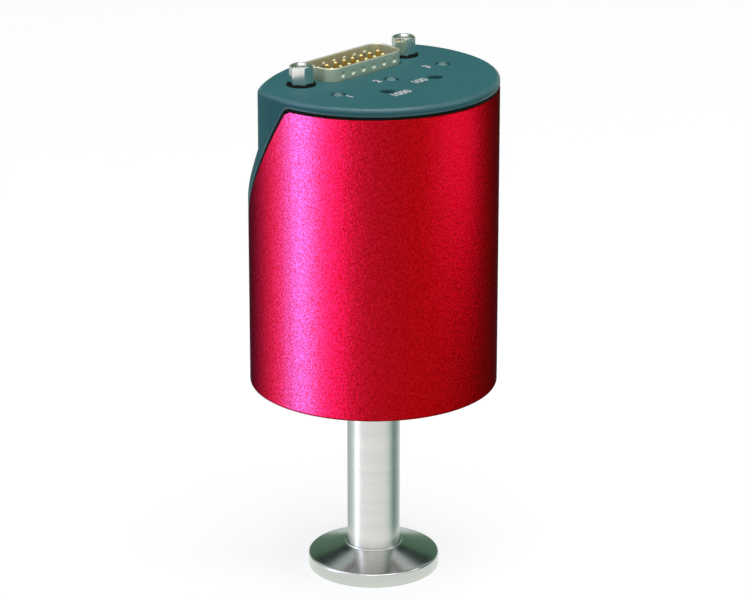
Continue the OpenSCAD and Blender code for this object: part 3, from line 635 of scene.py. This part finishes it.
def spin_outline(bm, outline, steps=ROUND_STEPS):
    """Spins a closed outline of (radius, height) in mm. A third value rounds that corner."""
    corners = [bm.verts.new((corner[0] * MM, 0, corner[1] * MM)) for corner in outline]
    bm.faces.new(corners)
    for vert, (_, _, *rounding) in zip(corners, outline):
        if rounding:
            round_off(bm, [vert], rounding[0], CORNER_STEPS, "VERTICES")
    face = [f for f in bm.faces if f.is_valid][-1]
    rim = list(face.edges)
    bmesh.ops.delete(bm, geom=[face], context="FACES_ONLY")
    spin_round(bm, rim + list({v for e in rim for v in e.verts}), steps)
    return bm


print("a turned piece has", ROUND_STEPS, "columns")

# %% [markdown]
# Every piece is then finished in the same way. It is merged, and its normals are set. Holes are cut
# by a boolean with a shape that is thrown away. At the end its sharp edges are marked, and it gets
# its finish and rides on its body in place of the solids that it dresses.

# %% trimming and dressing
SLIVER = 0.0001 * MM
SHARP_ANGLE = math.radians(32)


def add_piece(bm, name):
    """Merges a finished bmesh, sets its normals outwards and links it as an object."""
    merge(bm)
    bmesh.ops.dissolve_degenerate(bm, dist=SLIVER, edges=bm.edges)
    bmesh.ops.recalc_face_normals(bm, faces=bm.faces)
    return link_mesh(bm, name)


def trim(piece, cutter_bm, operation="DIFFERENCE"):
    """Cuts a piece with another closed shape, which is thrown away afterwards."""
    cutter = add_piece(cutter_bm, piece.name + "_cutter")
    step = piece.modifiers.new("trim", "BOOLEAN")
    step.operation, step.object, step.solver = operation, cutter, "EXACT"
    ready = piece.evaluated_get(bpy.context.evaluated_depsgraph_get())
    result = bpy.data.meshes.new_from_object(ready)
    piece.modifiers.clear()
    piece.data = result
    bpy.data.objects.remove(cutter)
    return piece


def dress(piece, slot, *nodes, body="housing", even=False):
    """Marks sharp edges, gives the piece its finish and lets it ride in place of its solids."""
    bm = bmesh.new()
    bm.from_mesh(piece.data)
    for face in bm.faces:
        face.smooth = True
    for edge in bm.edges:
        edge.smooth = len(edge.link_faces) == 2 and edge.calc_face_angle(0) < SHARP_ANGLE
    bm.to_mesh(piece.data)
    bm.free()
    piece.data.materials.clear()
    piece.data.materials.append(FINISHES[slot])
    if even:
        step = piece.modifiers.new("even_shading", "WEIGHTED_NORMAL")
        step.keep_sharp = True
    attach(piece, body)
    if nodes:
        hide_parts(*nodes)
    print(f"{piece.name}: {len(piece.data.polygons)} faces")
    return piece


print("edges over", round(math.degrees(SHARP_ANGLE)), "degrees stay sharp")

# %% [markdown]
# The clamp flange is turned from bar: a flat rim, a cone for the clamp's wedge and a short weld
# neck round the tube. The measuring tube is drawn pipe with its ends deburred. Both are plain
# lathe work, so one spin each makes them.

# %% flange and tube
FLANGE_R, RIM_H, CONE = 15.0, 3.2, math.tan(math.radians(15))
RECESS_R, RECESS_H = 8.6, 3.0
TUBE_R, TUBE_BORE_R = 6.0, 5.0
NECK_R, NECK_H, WELD_GAP = 6.4, 0.4, 0.03
SEAL_EDGE, RIM_FOOT, RIM_HEAD, NECK_EDGE = 0.2, 0.4, 0.5, 0.25
TUBE_EDGE, TUBE_BORE_EDGE = 0.3, 0.2
tube_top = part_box("measuring_tube")[1].z / MM
cone_top = RIM_H + (FLANGE_R - NECK_R) * CONE
neck_top = cone_top + NECK_H
neck_bore = TUBE_R + WELD_GAP
flange = spin_outline(bmesh.new(), [
    (RECESS_R, 0, SEAL_EDGE), (FLANGE_R, 0, RIM_FOOT), (FLANGE_R, RIM_H, RIM_HEAD),
    (NECK_R, cone_top, NECK_EDGE), (NECK_R, neck_top, NECK_EDGE), (neck_bore, neck_top),
    (neck_bore, RECESS_H), (RECESS_R, RECESS_H),
])
dress(add_piece(flange, "clamp_flange"), "turned_steel", "kf_flange", even=True)
tube = spin_outline(bmesh.new(), [
    (TUBE_BORE_R, RECESS_H, TUBE_BORE_EDGE), (TUBE_R, RECESS_H, TUBE_EDGE),
    (TUBE_R, tube_top, TUBE_EDGE), (TUBE_BORE_R, tube_top, TUBE_BORE_EDGE),
])
dress(add_piece(tube, "measuring_tube_wall"), "tube_steel", "measuring_tube", even=True)

# %% [markdown]
# The sleeve is a piece of tube, cut off level at the front and sawn at a slant towards the back,
# with a bend between the two cuts. The wall is spun with a straight top. Then every point of the
# top edge is moved down to the cut, which keeps the wall's even columns, and the two edges of the
# cut are rounded with a bevel, as deburring does.

# %% sleeve
SLEEVE_R, SLEEVE_BORE_R = 28.0, 26.0
SLEEVE_LOW, SEAM_Z = 45.5, 114.5
REBATE_R, REBATE_TOP = 26.7, 50.5
SLANT, SLANT_ROUND = math.radians(56.3), 2.0
LOW_EDGE, CUT_EDGE = 0.6, 0.3
CUT_STEPS = 512
ABOVE_CUT = 120.0
SAME_RADIUS = 0.1


def cut_height(y, raised=0.0):
    """Height in mm of the sleeve's cut at a place y, raised square to the cut."""
    bend_y = -SLANT_ROUND * math.tan(SLANT / 2)
    radius = SLANT_ROUND + raised
    if y <= bend_y:
        return SEAM_Z + raised
    if y <= bend_y + radius * math.sin(SLANT):
        return SEAM_Z - SLANT_ROUND + math.sqrt(radius ** 2 - (y - bend_y) ** 2)
    return SEAM_Z + raised / math.cos(SLANT) - y * math.tan(SLANT)


def runs_round(edge):
    """True where both ends of an edge are as far from the axis."""
    first, second = (vert.co.xy.length for vert in edge.verts)
    return abs(first - second) < SAME_RADIUS * MM


def make_sleeve():
    bm = spin_outline(bmesh.new(), [
        (REBATE_R, SLEEVE_LOW), (SLEEVE_R, SLEEVE_LOW, LOW_EDGE), (SLEEVE_R, ABOVE_CUT),
        (SLEEVE_BORE_R, ABOVE_CUT), (SLEEVE_BORE_R, REBATE_TOP), (REBATE_R, REBATE_TOP),
    ], CUT_STEPS)
    merge(bm)
    top = {v for v in bm.verts if v.co.z > (ABOVE_CUT - 1) * MM}
    for vert in top:
        vert.co.z = cut_height(vert.co.y / MM) * MM
    round_off(bm, [e for e in bm.edges if set(e.verts) <= top and runs_round(e)], CUT_EDGE)
    return add_piece(bm, "sleeve_wall")


sleeve = dress(make_sleeve(), "red_anodised", "sleeve", even=True)

# %% [markdown]
# A thin rubber gasket lies on the cut and shows as a dark line under the cap. It is spun flat, and
# then each of its points is raised to the cut, as the sleeve's edge was.

# %% gasket
GASKET_T, GASKET_R, GASKET_BORE_R = 0.5, 27.85, 26.15


def make_gasket():
    bm = spin_outline(bmesh.new(), [
        (GASKET_BORE_R, 0), (GASKET_R, 0), (GASKET_R, GASKET_T), (GASKET_BORE_R, GASKET_T),
    ], CUT_STEPS)
    for vert in bm.verts:
        vert.co.z = cut_height(vert.co.y / MM, vert.co.z / MM) * MM
    return add_piece(bm, "gasket_ring")


dress(make_gasket(), "gasket_rubber", "sleeve_gasket")

# %% [markdown]
# The photograph shows a violet gleam down the left of the sleeve and a weaker one at its upper
# right. A dyed metal can't turn white light violet, but the clear skin over it can carry the colour
# of a lamp. So four tinted lamps light the sleeve alone, by light linking, and the steel stays grey.

# %% gleam on the sleeve
# The same columns as the softboxes have.
GLEAMS = [
    ("gleam_edge", -104, 0.05, 1.0, 0.3, 1.1, 3.0, (1.0, 0.4, 0.9)),
    ("gleam_left", -69, 0.05, 1.0, 0.36, 1.1, 1350.0, (0.0024, 0.19, 0.78)),
    ("gleam_front", -40, 0.05, 1.0, 0.34, 1.1, 80.0, (0.066, 0.008, 0.6)),
    ("gleam_right", 76, 0.078, 0.15, 0.12, 0.05, 16.0, (0.2, 0.15, 1.1)),
]
only_sleeve = bpy.data.collections.new("lit_by_the_gleams")
only_sleeve.objects.link(sleeve)
for row in GLEAMS:
    hang_softbox(*row).light_linking.receiver_collection = only_sleeve
print("gleams:", [row[0] for row in GLEAMS])

# %% [markdown]
# The cap is one moulding. Its rim lies on the sleeve's cut, a tower with a flattened back stands
# on the rim, and the top plate closes it. A lathe can't turn that, but a spun tube has the right
# rows and columns: each row is moved to where the moulding's wall runs in that direction. So the
# skirt, the ledge, the cove above it and the rounded top edge follow the cut all the way round.

# %% outline of the tower
BACK_Y, BACK_R, BACK_CORNER_R = 19.0, 45.0, 5.0
back_middle = BACK_Y - BACK_R
corner_y = (back_middle ** 2 - (BACK_R - BACK_CORNER_R) ** 2
            + (SLEEVE_R - BACK_CORNER_R) ** 2) / (2 * back_middle)
corner_x = math.sqrt((SLEEVE_R - BACK_CORNER_R) ** 2 - corner_y ** 2)


def reach_to_circle(way, middle, radius):
    """How far one can go from the axis along a flat direction before leaving a circle."""
    along = way.dot(middle)
    return along + math.sqrt(along ** 2 - middle.length_squared + radius ** 2)


def tower_reach(way, inset=0.0):
    """Distance in mm from the axis to the tower's wall, moved inwards by an inset."""
    corner = Vector((math.copysign(corner_x, way.x), corner_y))
    back = Vector((0, back_middle))
    back_start = back + (corner - back).normalized() * (BACK_R - inset)
    turn = math.atan2(way.y, abs(way.x))
    if turn <= math.atan2(corner_y, corner_x):
        return SLEEVE_R - inset
    if turn < math.atan2(back_start.y, abs(back_start.x)):
        return reach_to_circle(way, corner, BACK_CORNER_R - inset)
    return reach_to_circle(way, back, BACK_R - inset)


print("tower's corners in mm:", round(corner_x, 2), round(corner_y, 2))

# %% [markdown]
# Each row of the section also says how much painted highlight that line gets, from 0 to 1, and the
# finish reads it from an attribute of the mesh.

# %% cap wall
CAP_TOP, PLATE_UNDER, TOP_ROUND = 117.0, 114.2, 1.0
WALL_TOP = CAP_TOP - TOP_ROUND
RIM_T, SKIRT_DROP = 2.0, 4.0
SKIRT_R, SKIRT_BORE_R, CAP_WALL = 25.85, 23.85, 2.0
RIM_ROUND, LEDGE_ROUND, COVE_R, HIGHLIGHT_FADE = 0.5, 0.35, 0.9, 0.25
# How much of its radius the middle of a rounded edge lies inside the corner.
MID_ARC = 0.29
# Painted highlight along the rounded top edge, by the angle up from the wall.
TOP_HIGHLIGHT = [(15, 0.5), (30, 0.9), (45, 1), (60, 1), (75, 0.8), (90, 0)]


def cap_rows(way):
    """The moulding's section in one direction: (reach, height, painted highlight) from the inside to
    the top.
    """
    def under(reach):
        return cut_height(reach * way.y, GASKET_T)

    def ledge(reach):
        return min(WALL_TOP, cut_height(reach * way.y, GASKET_T + RIM_T))

    tower = tower_reach(way)
    width = SLEEVE_R - tower
    edge, cove, highlighted = min(LEDGE_ROUND, width / 3), min(COVE_R, width / 3), min(1, width)
    inner = min(SKIRT_BORE_R, tower_reach(way, CAP_WALL))
    # The third value of a row is its painted highlight: the edge of the rim over the gasket, the edge
    # of the ledge and the top edge are painted paler.
    rows = [
        (inner, PLATE_UNDER, 0),
        (inner, min(PLATE_UNDER, under(inner)), 0),
        (SKIRT_BORE_R, min(PLATE_UNDER, under(SKIRT_BORE_R)), 0),
        (SKIRT_BORE_R, under(SKIRT_BORE_R) - SKIRT_DROP, 0),
        (SKIRT_R, under(SKIRT_R) - SKIRT_DROP, 0),
        (SKIRT_R, under(SKIRT_R), 0),
        (SLEEVE_R - RIM_ROUND, under(SLEEVE_R - RIM_ROUND), 0.4),
        (SLEEVE_R - MID_ARC * RIM_ROUND, under(SLEEVE_R) + MID_ARC * RIM_ROUND, 0.8),
        (SLEEVE_R, under(SLEEVE_R) + RIM_ROUND, 0.6),
        (SLEEVE_R, under(SLEEVE_R) + RIM_ROUND + HIGHLIGHT_FADE, 0),
        (SLEEVE_R, ledge(SLEEVE_R) - edge - HIGHLIGHT_FADE * highlighted, 0),
        (SLEEVE_R, ledge(SLEEVE_R) - edge, 0.6 * highlighted),
        (SLEEVE_R - MID_ARC * edge, ledge(SLEEVE_R) - MID_ARC * edge, highlighted),
        (SLEEVE_R - edge, ledge(SLEEVE_R - edge), 0.6 * highlighted),
        (SLEEVE_R - 2 * edge, ledge(SLEEVE_R - 2 * edge), 0),
        (tower + cove, ledge(tower + cove), 0),
        (tower + MID_ARC * cove, min(WALL_TOP, ledge(tower + MID_ARC * cove) + MID_ARC * cove), 0),
        (tower, min(WALL_TOP, ledge(tower) + cove), 0),
        (tower, WALL_TOP, 0),
    ]
    for angle, painted_highlight in TOP_HIGHLIGHT:
        lift = math.radians(angle)
        reach = tower_reach(way, TOP_ROUND * (1 - math.cos(lift)))
        rows.append((reach, WALL_TOP + TOP_ROUND * math.sin(lift), painted_highlight))
    return rows


def make_cap_wall():
    count = len(cap_rows(Vector((1, 0))))
    bm = bmesh.new()
    # The painted highlight of each point is kept in a float layer of the mesh.
    painted_highlight = bm.verts.layers.float.new(HIGHLIGHT_ATTRIBUTE)
    line = [bm.verts.new((SLEEVE_R * MM, 0, k * MM)) for k in range(count)]
    spin_round(bm, line + [bm.edges.new(pair) for pair in zip(line, line[1:])], CUT_STEPS)
    for vert in bm.verts:
        way, row = vert.co.xy.normalized(), round(vert.co.z / MM)
        reach, height, vert[painted_highlight] = cap_rows(way)[row]
        vert.co = (way.x * reach * MM, way.y * reach * MM, height * MM)
    bmesh.ops.holes_fill(bm, edges=[e for e in bm.edges if e.is_boundary], sides=0)
    return add_piece(bm, "cap_moulding")


cap = make_cap_wall()
print("cap wall:", len(cap.data.polygons), "faces")

# %% [markdown]
# Two cutters make the holes. The connector's outline has four round corners and slanted ends, so it
# is the hull of four posts. A drill is turned, and it flares at the height where it leaves the
# plate, so the cut has the small chamfer that a moulding tool gives.

# %% cutters
PLUG_Y = 6.13
SHELL_W, SHELL_D, SHELL_SLOPE, SHELL_CORNER = 25.25, 8.36, math.radians(10), 2.6
CORNER_POST_STEPS, DRILL_STEPS = 48, 48
FLAT_ANGLE = math.radians(0.5)
HOLE_EDGE = 0.15


def only_points(geom):
    return [g for g in geom if isinstance(g, bmesh.types.BMVert)]


def edges_of(verts):
    return list({e for v in verts for e in v.link_edges})


def add_plug_block(bm, margin, low, high):
    """A solid with the connector's outline, grown by a margin, between two heights in mm."""
    fresh = []
    slope, lean = math.tan(SHELL_SLOPE), 1 / math.cos(SHELL_SLOPE)
    wide = SHELL_W / 2 - SHELL_CORNER * (slope + lean)
    narrow = SHELL_W / 2 - (SHELL_D - SHELL_CORNER) * slope - SHELL_CORNER * lean
    deep = SHELL_D / 2 - SHELL_CORNER
    radius = (SHELL_CORNER + margin) * MM
    for x, y in ((-wide, deep), (wide, deep), (-narrow, -deep), (narrow, -deep)):
        place = Matrix.Translation(Vector((x, PLUG_Y + y, (low + high) / 2)) * MM)
        made = bmesh.ops.create_cone(
            bm, cap_ends=False, segments=CORNER_POST_STEPS, radius1=radius, radius2=radius,
            depth=(high - low) * MM, matrix=place)
        fresh += made["verts"]
    bmesh.ops.delete(bm, geom=edges_of(fresh), context="EDGES_FACES")
    hull = bmesh.ops.convex_hull(bm, input=fresh)
    bmesh.ops.delete(bm, geom=only_points(hull["geom_interior"]), context="VERTS")
    kept = [v for v in fresh if v.is_valid]
    bmesh.ops.dissolve_limit(bm, angle_limit=FLAT_ANGLE, verts=kept, edges=edges_of(kept))
    return bm


def add_drill(bm, x, y, radius, low, high, edge=HOLE_EDGE):
    """A round cutter at a place, flaring at the height where it leaves the plate."""
    drill = spin_outline(bmesh.new(), [
        (0, low), (radius, low), (radius, high - edge), (radius + 2 * edge, high + edge),
        (0, high + edge),
    ], DRILL_STEPS)
    move(drill, x, y)
    merge(drill)
    spare = bpy.data.meshes.new("drill")
    drill.to_mesh(spare)
    drill.free()
    bm.from_mesh(spare)
    bpy.data.meshes.remove(spare)


print("connector's outline in mm:", SHELL_W, "x", SHELL_D)

# %% [markdown]
# The top plate has a window for the connector, two seats for the jackscrews, three lamp holes and
# two key holes. The round holes that open at the top are joined into one cutter, because one
# boolean is quicker than many. The jackscrews' shanks and the window have a cutter each.

# %% holes in the cap
POST_X = 16.66
LAMPS = [(-17.0, -5.3), (0.0, -5.3), (17.0, -5.3)]
KEYS = [(-7.8, -11.3), (7.8, -11.3)]
SEAT_R, SEAT_Z, BOLT_R = 3.3, 116.4, 1.57
LAMP_HOLE_R, KEY_HOLE_R = 1.65, 1.7
KEY_HOLE_EDGE, BOLT_EDGE = 0.25, 0.01
DRILL_LOW, DRILL_PAST = 113.0, 0.2
SHELL_T, WINDOW_GAP, WINDOW_HIGH = 0.5, 0.3, 118.0


def drill_cap():
    holes, bolts = bmesh.new(), bmesh.new()
    for x in (-POST_X, POST_X):
        add_drill(holes, x, PLUG_Y, SEAT_R, SEAT_Z, CAP_TOP)
        add_drill(bolts, x, PLUG_Y, BOLT_R, DRILL_LOW, SEAT_Z + DRILL_PAST, BOLT_EDGE)
    for x, y in LAMPS:
        add_drill(holes, x, y, LAMP_HOLE_R, DRILL_LOW, CAP_TOP)
    for x, y in KEYS:
        add_drill(holes, x, y, KEY_HOLE_R, DRILL_LOW, CAP_TOP, KEY_HOLE_EDGE)
    window = add_plug_block(bmesh.new(), SHELL_T + WINDOW_GAP, DRILL_LOW, WINDOW_HIGH)
    for cutter in (holes, bolts, window):
        trim(cap, cutter)


drill_cap()
print("rubbed points:", sum(point.value > 0 for point in cap.data.attributes[HIGHLIGHT_ATTRIBUTE].data))
dress(cap, "cap_plastic", "cap", even=True)

# %% [markdown]
# The connector's front shell is drawn from tin-plated sheet: a cup with a rolled lip, pressed
# dimples that grip the mating plug, and a flat flange under the cap's plate. A block with the
# shell's outline is hollowed by an inset and an extrusion, and its lip is bevelled. Small spheres
# press the dimples, and flattened ones raise the bulge that each dimple leaves on the inside.

# %% connector shell
SHELL_TOP, SHELL_FOOT, CUP_FLOOR = 120.04, 113.4, 114.0
LIP_ROUND, LIP_REACH, LIP_ANGLE = 0.2, 0.01, 1.0
DIMPLES, DIMPLE_Z, DIMPLE_R, DIMPLE_SINK = 6, 118.3, 1.0, 0.3
BULGE_R, BULGE_DEPTH, BULGE_RISE = 0.75, 0.4, 0.2
BALL_COLUMNS, BALL_ROWS = 24, 16
LEVEL = 0.9


def make_plug_cup():
    bm = add_plug_block(bmesh.new(), SHELL_T, SHELL_FOOT, SHELL_TOP)
    top = max(bm.faces, key=lambda f: f.calc_center_median().z)
    bmesh.ops.inset_region(bm, faces=[top], thickness=SHELL_T * MM, use_even_offset=True)
    mouth = max((f for f in bm.faces if f.normal.z > LEVEL), key=lambda f: f.calc_area())
    floor = bmesh.ops.extrude_discrete_faces(bm, faces=[mouth])["faces"][0]
    bmesh.ops.translate(bm, verts=floor.verts, vec=(0, 0, (CUP_FLOOR - SHELL_TOP) * MM))
    merge(bm)
    lip = [e for e in bm.edges if all(v.co.z > (SHELL_TOP - LIP_REACH) * MM for v in e.verts)
           and len(e.link_faces) == 2 and e.calc_face_angle(0) > LIP_ANGLE]
    round_off(bm, lip, LIP_ROUND)
    return add_piece(bm, "plug_front_shell")


def row_of_balls(radius, flatness, outside):
    """Balls along both long walls of the shell, their middles a little outside the inner wall."""
    bm = bmesh.new()
    pitch = (SHELL_W - 2 * SHELL_CORNER) / DIMPLES
    for side in (-1, 1):
        for k in range(DIMPLES):
            x, y = (k - (DIMPLES - 1) / 2) * pitch, PLUG_Y + side * (SHELL_D / 2 + outside)
            place = Matrix.Translation(Vector((x, y, DIMPLE_Z)) * MM)
            place @= Matrix.Diagonal((1, flatness, 1, 1))
            bmesh.ops.create_uvsphere(
                bm, u_segments=BALL_COLUMNS, v_segments=BALL_ROWS, radius=radius * MM, matrix=place)
    return bm


def make_plug_shell():
    shell = make_plug_cup()
    bulges = row_of_balls(BULGE_R, BULGE_DEPTH / BULGE_R, BULGE_DEPTH - BULGE_RISE)
    trim(shell, bulges, "UNION")
    return trim(shell, row_of_balls(DIMPLE_R, 1.0, SHELL_T + DIMPLE_R - DIMPLE_SINK))


dress(make_plug_shell(), "plated_steel", "plug_shell", even=True)

# %% [markdown]
# The flange of the shell is a flat sheet with round corners. It starts as a cube, its upright edges
# are bevelled, and the shell's outline and the holes for the two jackscrews are cut out of it.

# %% connector flange
FLANGE_W, FLANGE_D, FLANGE_T, FLANGE_CORNER = 39.2, 12.5, 0.8, 2.4
FLANGE_CORNER_STEPS = 6
SEAM_LAP, CUT_PAST, WINDOW_RISE = 0.05, 1.0, 2.0


def upright_edges(bm, least):
    """The edges that rise by more than a length in mm."""
    return [e for e in bm.edges if abs(e.verts[0].co.z - e.verts[1].co.z) > least * MM]


def make_plug_flange():
    bm = bmesh.new()
    bmesh.ops.create_cube(bm, size=1.0)
    bmesh.ops.scale(bm, verts=bm.verts, vec=(FLANGE_W * MM, FLANGE_D * MM, FLANGE_T * MM))
    move(bm, 0, PLUG_Y, SHELL_FOOT + FLANGE_T / 2)
    round_off(bm, upright_edges(bm, FLANGE_T / 2), FLANGE_CORNER, FLANGE_CORNER_STEPS)
    plate = add_piece(bm, "plug_front_flange")
    low, high = SHELL_FOOT - CUT_PAST, SHELL_FOOT + FLANGE_T + CUT_PAST
    bolts = bmesh.new()
    for x in (-POST_X, POST_X):
        add_drill(bolts, x, PLUG_Y, BOLT_R, low, high, BOLT_EDGE)
    trim(plate, bolts)
    return trim(plate, add_plug_block(bmesh.new(), SHELL_T - SEAM_LAP, low, SHELL_FOOT + WINDOW_RISE))


dress(make_plug_flange(), "plated_steel", "plug_shell")

# %% [markdown]
# Fifteen gold-plated pins stand in the connector in two rows, eight behind seven. A pin is a
# round bar with a bullet nose. One pin is spun and then copied to the other places.

# %% connector pins
PIN_R, PIN_LOW, PIN_TIP = 0.5, 103.5, 119.4
PIN_NOSE, PIN_FOOT, PIN_STEPS = 0.42, 0.1, 24
PIN_PITCH, ROW_GAP, BACK_PINS = 2.77, 2.84, 8


def make_pins():
    bm = spin_outline(bmesh.new(), [
        (0, PIN_LOW), (PIN_R, PIN_LOW, PIN_FOOT), (PIN_R, PIN_TIP, PIN_NOSE), (0, PIN_TIP),
    ], PIN_STEPS)
    merge(bm)
    first = list(bm.verts) + list(bm.edges) + list(bm.faces)
    for row in (0, 1):
        number = BACK_PINS - row
        y = PLUG_Y + (0.5 - row) * ROW_GAP
        for k in range(number):
            x = (k - (number - 1) / 2) * PIN_PITCH
            copy = only_points(bmesh.ops.duplicate(bm, geom=first)["geom"])
            bmesh.ops.translate(bm, verts=copy, vec=(x * MM, y * MM, 0))
    bmesh.ops.delete(bm, geom=only_points(first), context="VERTS")
    return add_piece(bm, "plug_contact_pins")


dress(make_pins(), "gold_contact", "plug_pins")

# %% [markdown]
# The two jackscrews hold the mating plug. Each is a hexagon bar with a turned chamfer, a threaded
# hole in its top and a shank that passes through the connector. The hexagon is trimmed by a turned
# shape, so the chamfer runs in arcs over the flats. The thread is a small ridge spun as a helix.

# %% jackscrews
HEX_AF, HEX_TOP, HEX_EDGE, HEX_EDGE_STEPS = 4.76, 121.4, 0.08, 2
HEX_LOW = SEAT_Z
FOOT_IN, FOOT_UP = 0.32, 0.3
HEAD_IN, HEAD_DOWN = 0.55, 0.35
SHANK_R, SHANK_LOW, SHANK_STEPS = 1.42, 109.2, 32
TAP_R, TAP_DEPTH, SINK_OUT, SINK_DOWN, TAP_STEPS = 1.2, 4.2, 0.45, 0.35, 48
TURNED_STEPS = 96
PAST = 0.05
THREAD_PITCH, THREAD_TURNS, THREAD_STEPS, THREAD_DOWN = 0.635, 6, 24, 0.5
# Section of the thread's ridge: radius, and height beside its crest.
RIDGE = [(1.22, -0.26), (1.0, 0), (1.22, 0.26)]


def add_thread(bm):
    """A helical ridge inside the tapped hole, starting just under its countersink."""
    start = HEX_TOP - THREAD_DOWN - THREAD_PITCH * THREAD_TURNS
    ridge = [bm.verts.new((r * MM, 0, (start + z) * MM)) for r, z in RIDGE]
    edges = [bm.edges.new(pair) for pair in zip(ridge, ridge[1:] + ridge[:1])]
    spin_round(bm, ridge + edges, THREAD_STEPS, THREAD_TURNS, THREAD_PITCH / THREAD_STEPS)
    bmesh.ops.holes_fill(bm, edges=[e for e in bm.edges if e.is_boundary], sides=0)


def make_hexagon(name):
    """The hexagon bar, trimmed by its turned chamfers and bored for the tap."""
    half = HEX_AF / 2 / math.cos(math.pi / 6)
    place = Matrix.Translation(Vector((0, 0, (HEX_LOW + HEX_TOP) / 2)) * MM)
    place @= Matrix.Rotation(math.pi / 6, 4, "Z")
    bm = bmesh.new()
    bmesh.ops.create_cone(
        bm, cap_ends=True, segments=6, radius1=half * MM, radius2=half * MM,
        depth=(HEX_TOP - HEX_LOW) * MM, matrix=place)
    round_off(bm, upright_edges(bm, 1), HEX_EDGE, HEX_EDGE_STEPS)
    post = add_piece(bm, name)
    trim(post, spin_outline(bmesh.new(), [
        (0, HEX_LOW - 2 * PAST), (half - FOOT_IN, HEX_LOW - 2 * PAST), (half + PAST, HEX_LOW + FOOT_UP),
        (half + PAST, HEX_TOP - HEAD_DOWN), (half - HEAD_IN, HEX_TOP),
        (half - HEAD_IN - 2 * PAST, HEX_TOP + PAST), (0, HEX_TOP + PAST),
    ], TURNED_STEPS), "INTERSECT")
    return trim(post, spin_outline(bmesh.new(), [
        (0, HEX_TOP - TAP_DEPTH), (TAP_R, HEX_TOP - TAP_DEPTH), (TAP_R, HEX_TOP - SINK_DOWN),
        (TAP_R + SINK_OUT, HEX_TOP + 2 * PAST), (0, HEX_TOP + 2 * PAST),
    ], TAP_STEPS))


def make_jackscrew(x, name):
    post = make_hexagon(name)
    bm = bmesh.new()
    bm.from_mesh(post.data)
    spin_outline(bm, [
        (0, SHANK_LOW), (SHANK_R, SHANK_LOW), (SHANK_R, HEX_LOW), (0, HEX_LOW),
    ], SHANK_STEPS)
    add_thread(bm)
    move(bm, x, PLUG_Y)
    bm.to_mesh(post.data)
    bm.free()
    return post


for post_x, post_name in ((-POST_X, "jackscrew_left"), (POST_X, "jackscrew_right")):
    dress(make_jackscrew(post_x, post_name), "nickel_posts", "jackscrews")

# %% [markdown]
# A dark ring lies round the foot of each jackscrew, in the recess of the cap: it is painted shade, a
# dark piece where the gap round the hexagon is in shadow. It has rounded edges, so a lathe outline
# makes it as well.

# %% foot rings
RING_R, RING_BORE_R, RING_RISE = 3.26, 2.78, 0.3
RING_EDGE, RING_BORE_EDGE = 0.2, 0.15
ring_top = CAP_TOP + RING_RISE


def make_ring(x, name):
    bm = spin_outline(bmesh.new(), [
        (RING_BORE_R, HEX_LOW), (RING_R, HEX_LOW), (RING_R, ring_top, RING_EDGE),
        (RING_BORE_R, ring_top, RING_BORE_EDGE),
    ], TURNED_STEPS)
    move(bm, x, PLUG_Y)
    return add_piece(bm, name)


# Each ring is painted shade, finished with the gasket's black rubber.
for post_x, shade_ring_name in ((-POST_X, "shade_ring_left"), (POST_X, "shade_ring_right")):
    dress(make_ring(post_x, shade_ring_name), "gasket_rubber", even=True)

# %% [markdown]
# The two keys are small moulded plungers. A shoulder keeps each one under its switch's lid, and
# the top is dished so that the tip of a pen stays on it. They slide, so each rides its own body.

# %% keys
KEY_R, SHOULDER_R, SHOULDER_T, KEY_STEPS = 1.5, 2.0, 0.6, 64
DISH_RIM, DISH_DEPTH = 0.45, 0.25
KEY_EDGE, DISH_EDGE, SHOULDER_EDGE = 0.2, 0.15, 0.1


def make_key(node, x, y):
    low, high = (corner.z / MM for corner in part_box(node))
    bm = spin_outline(bmesh.new(), [
        (0, low), (SHOULDER_R, low, SHOULDER_EDGE), (SHOULDER_R, low + SHOULDER_T),
        (KEY_R, low + SHOULDER_T), (KEY_R, high, KEY_EDGE), (KEY_R - DISH_RIM, high, DISH_EDGE),
        (0, high - DISH_DEPTH),
    ], KEY_STEPS)
    move(bm, x, y)
    return add_piece(bm, node + "_plunger")


for side, (key_x, key_y) in zip(("left", "right"), KEYS):
    node = "adjust_key_" + side
    dress(make_key(node, key_x, key_y), "key_plastic", node, body=side + "_key", even=True)

# %% [markdown]
# Small white marks are printed beside the lamps and keys. They are plain numbers, made as text,
# turned into a mesh and laid just above the plate, as a layer of ink would lie.

# %% printed marks
MARKS = [
    ("1", -16.6, -9.2), ("2", -3.6, -5.4), ("3", 12.6, -5.4), ("1000", -7.2, -15.6),
    ("100", 2.8, -12.0),
]
MARK_HEIGHT, MARK_WEIGHT, FIGURE_SHARE = 2.0, 0.12, 0.7
INK_T, INK_GAP = 0.02, 0.005


def print_mark(words, x, y):
    data = bpy.data.curves.new("mark", "FONT")
    data.body, data.size, data.align_x = words, MARK_HEIGHT * MM / FIGURE_SHARE, "CENTER"
    data.extrude = INK_T / 2 * MM
    data.offset = MARK_WEIGHT * MM
    text = bpy.data.objects.new("mark_text", data)
    scene.collection.objects.link(text)
    ready = text.evaluated_get(bpy.context.evaluated_depsgraph_get())
    mesh = bpy.data.meshes.new_from_object(ready)
    bpy.data.objects.remove(text)
    mesh.transform(Matrix.Translation(Vector((x, y, CAP_TOP + INK_T / 2 + INK_GAP)) * MM))
    mesh.materials.clear()
    mesh.materials.append(FINISHES["white_ink"])
    mark = bpy.data.objects.new("printed_mark_" + words, mesh)
    scene.collection.objects.link(mark)
    return mark


grain_finish("white_ink", (0.85, 0.85, 0.84), (0.8, 0.8, 0.79), (0.4, 0.55), 3000, 10)
for words, x, y in MARKS:
    mark = print_mark(words, x, y)
    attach(mark, "housing")
print("marks:", len(MARKS))
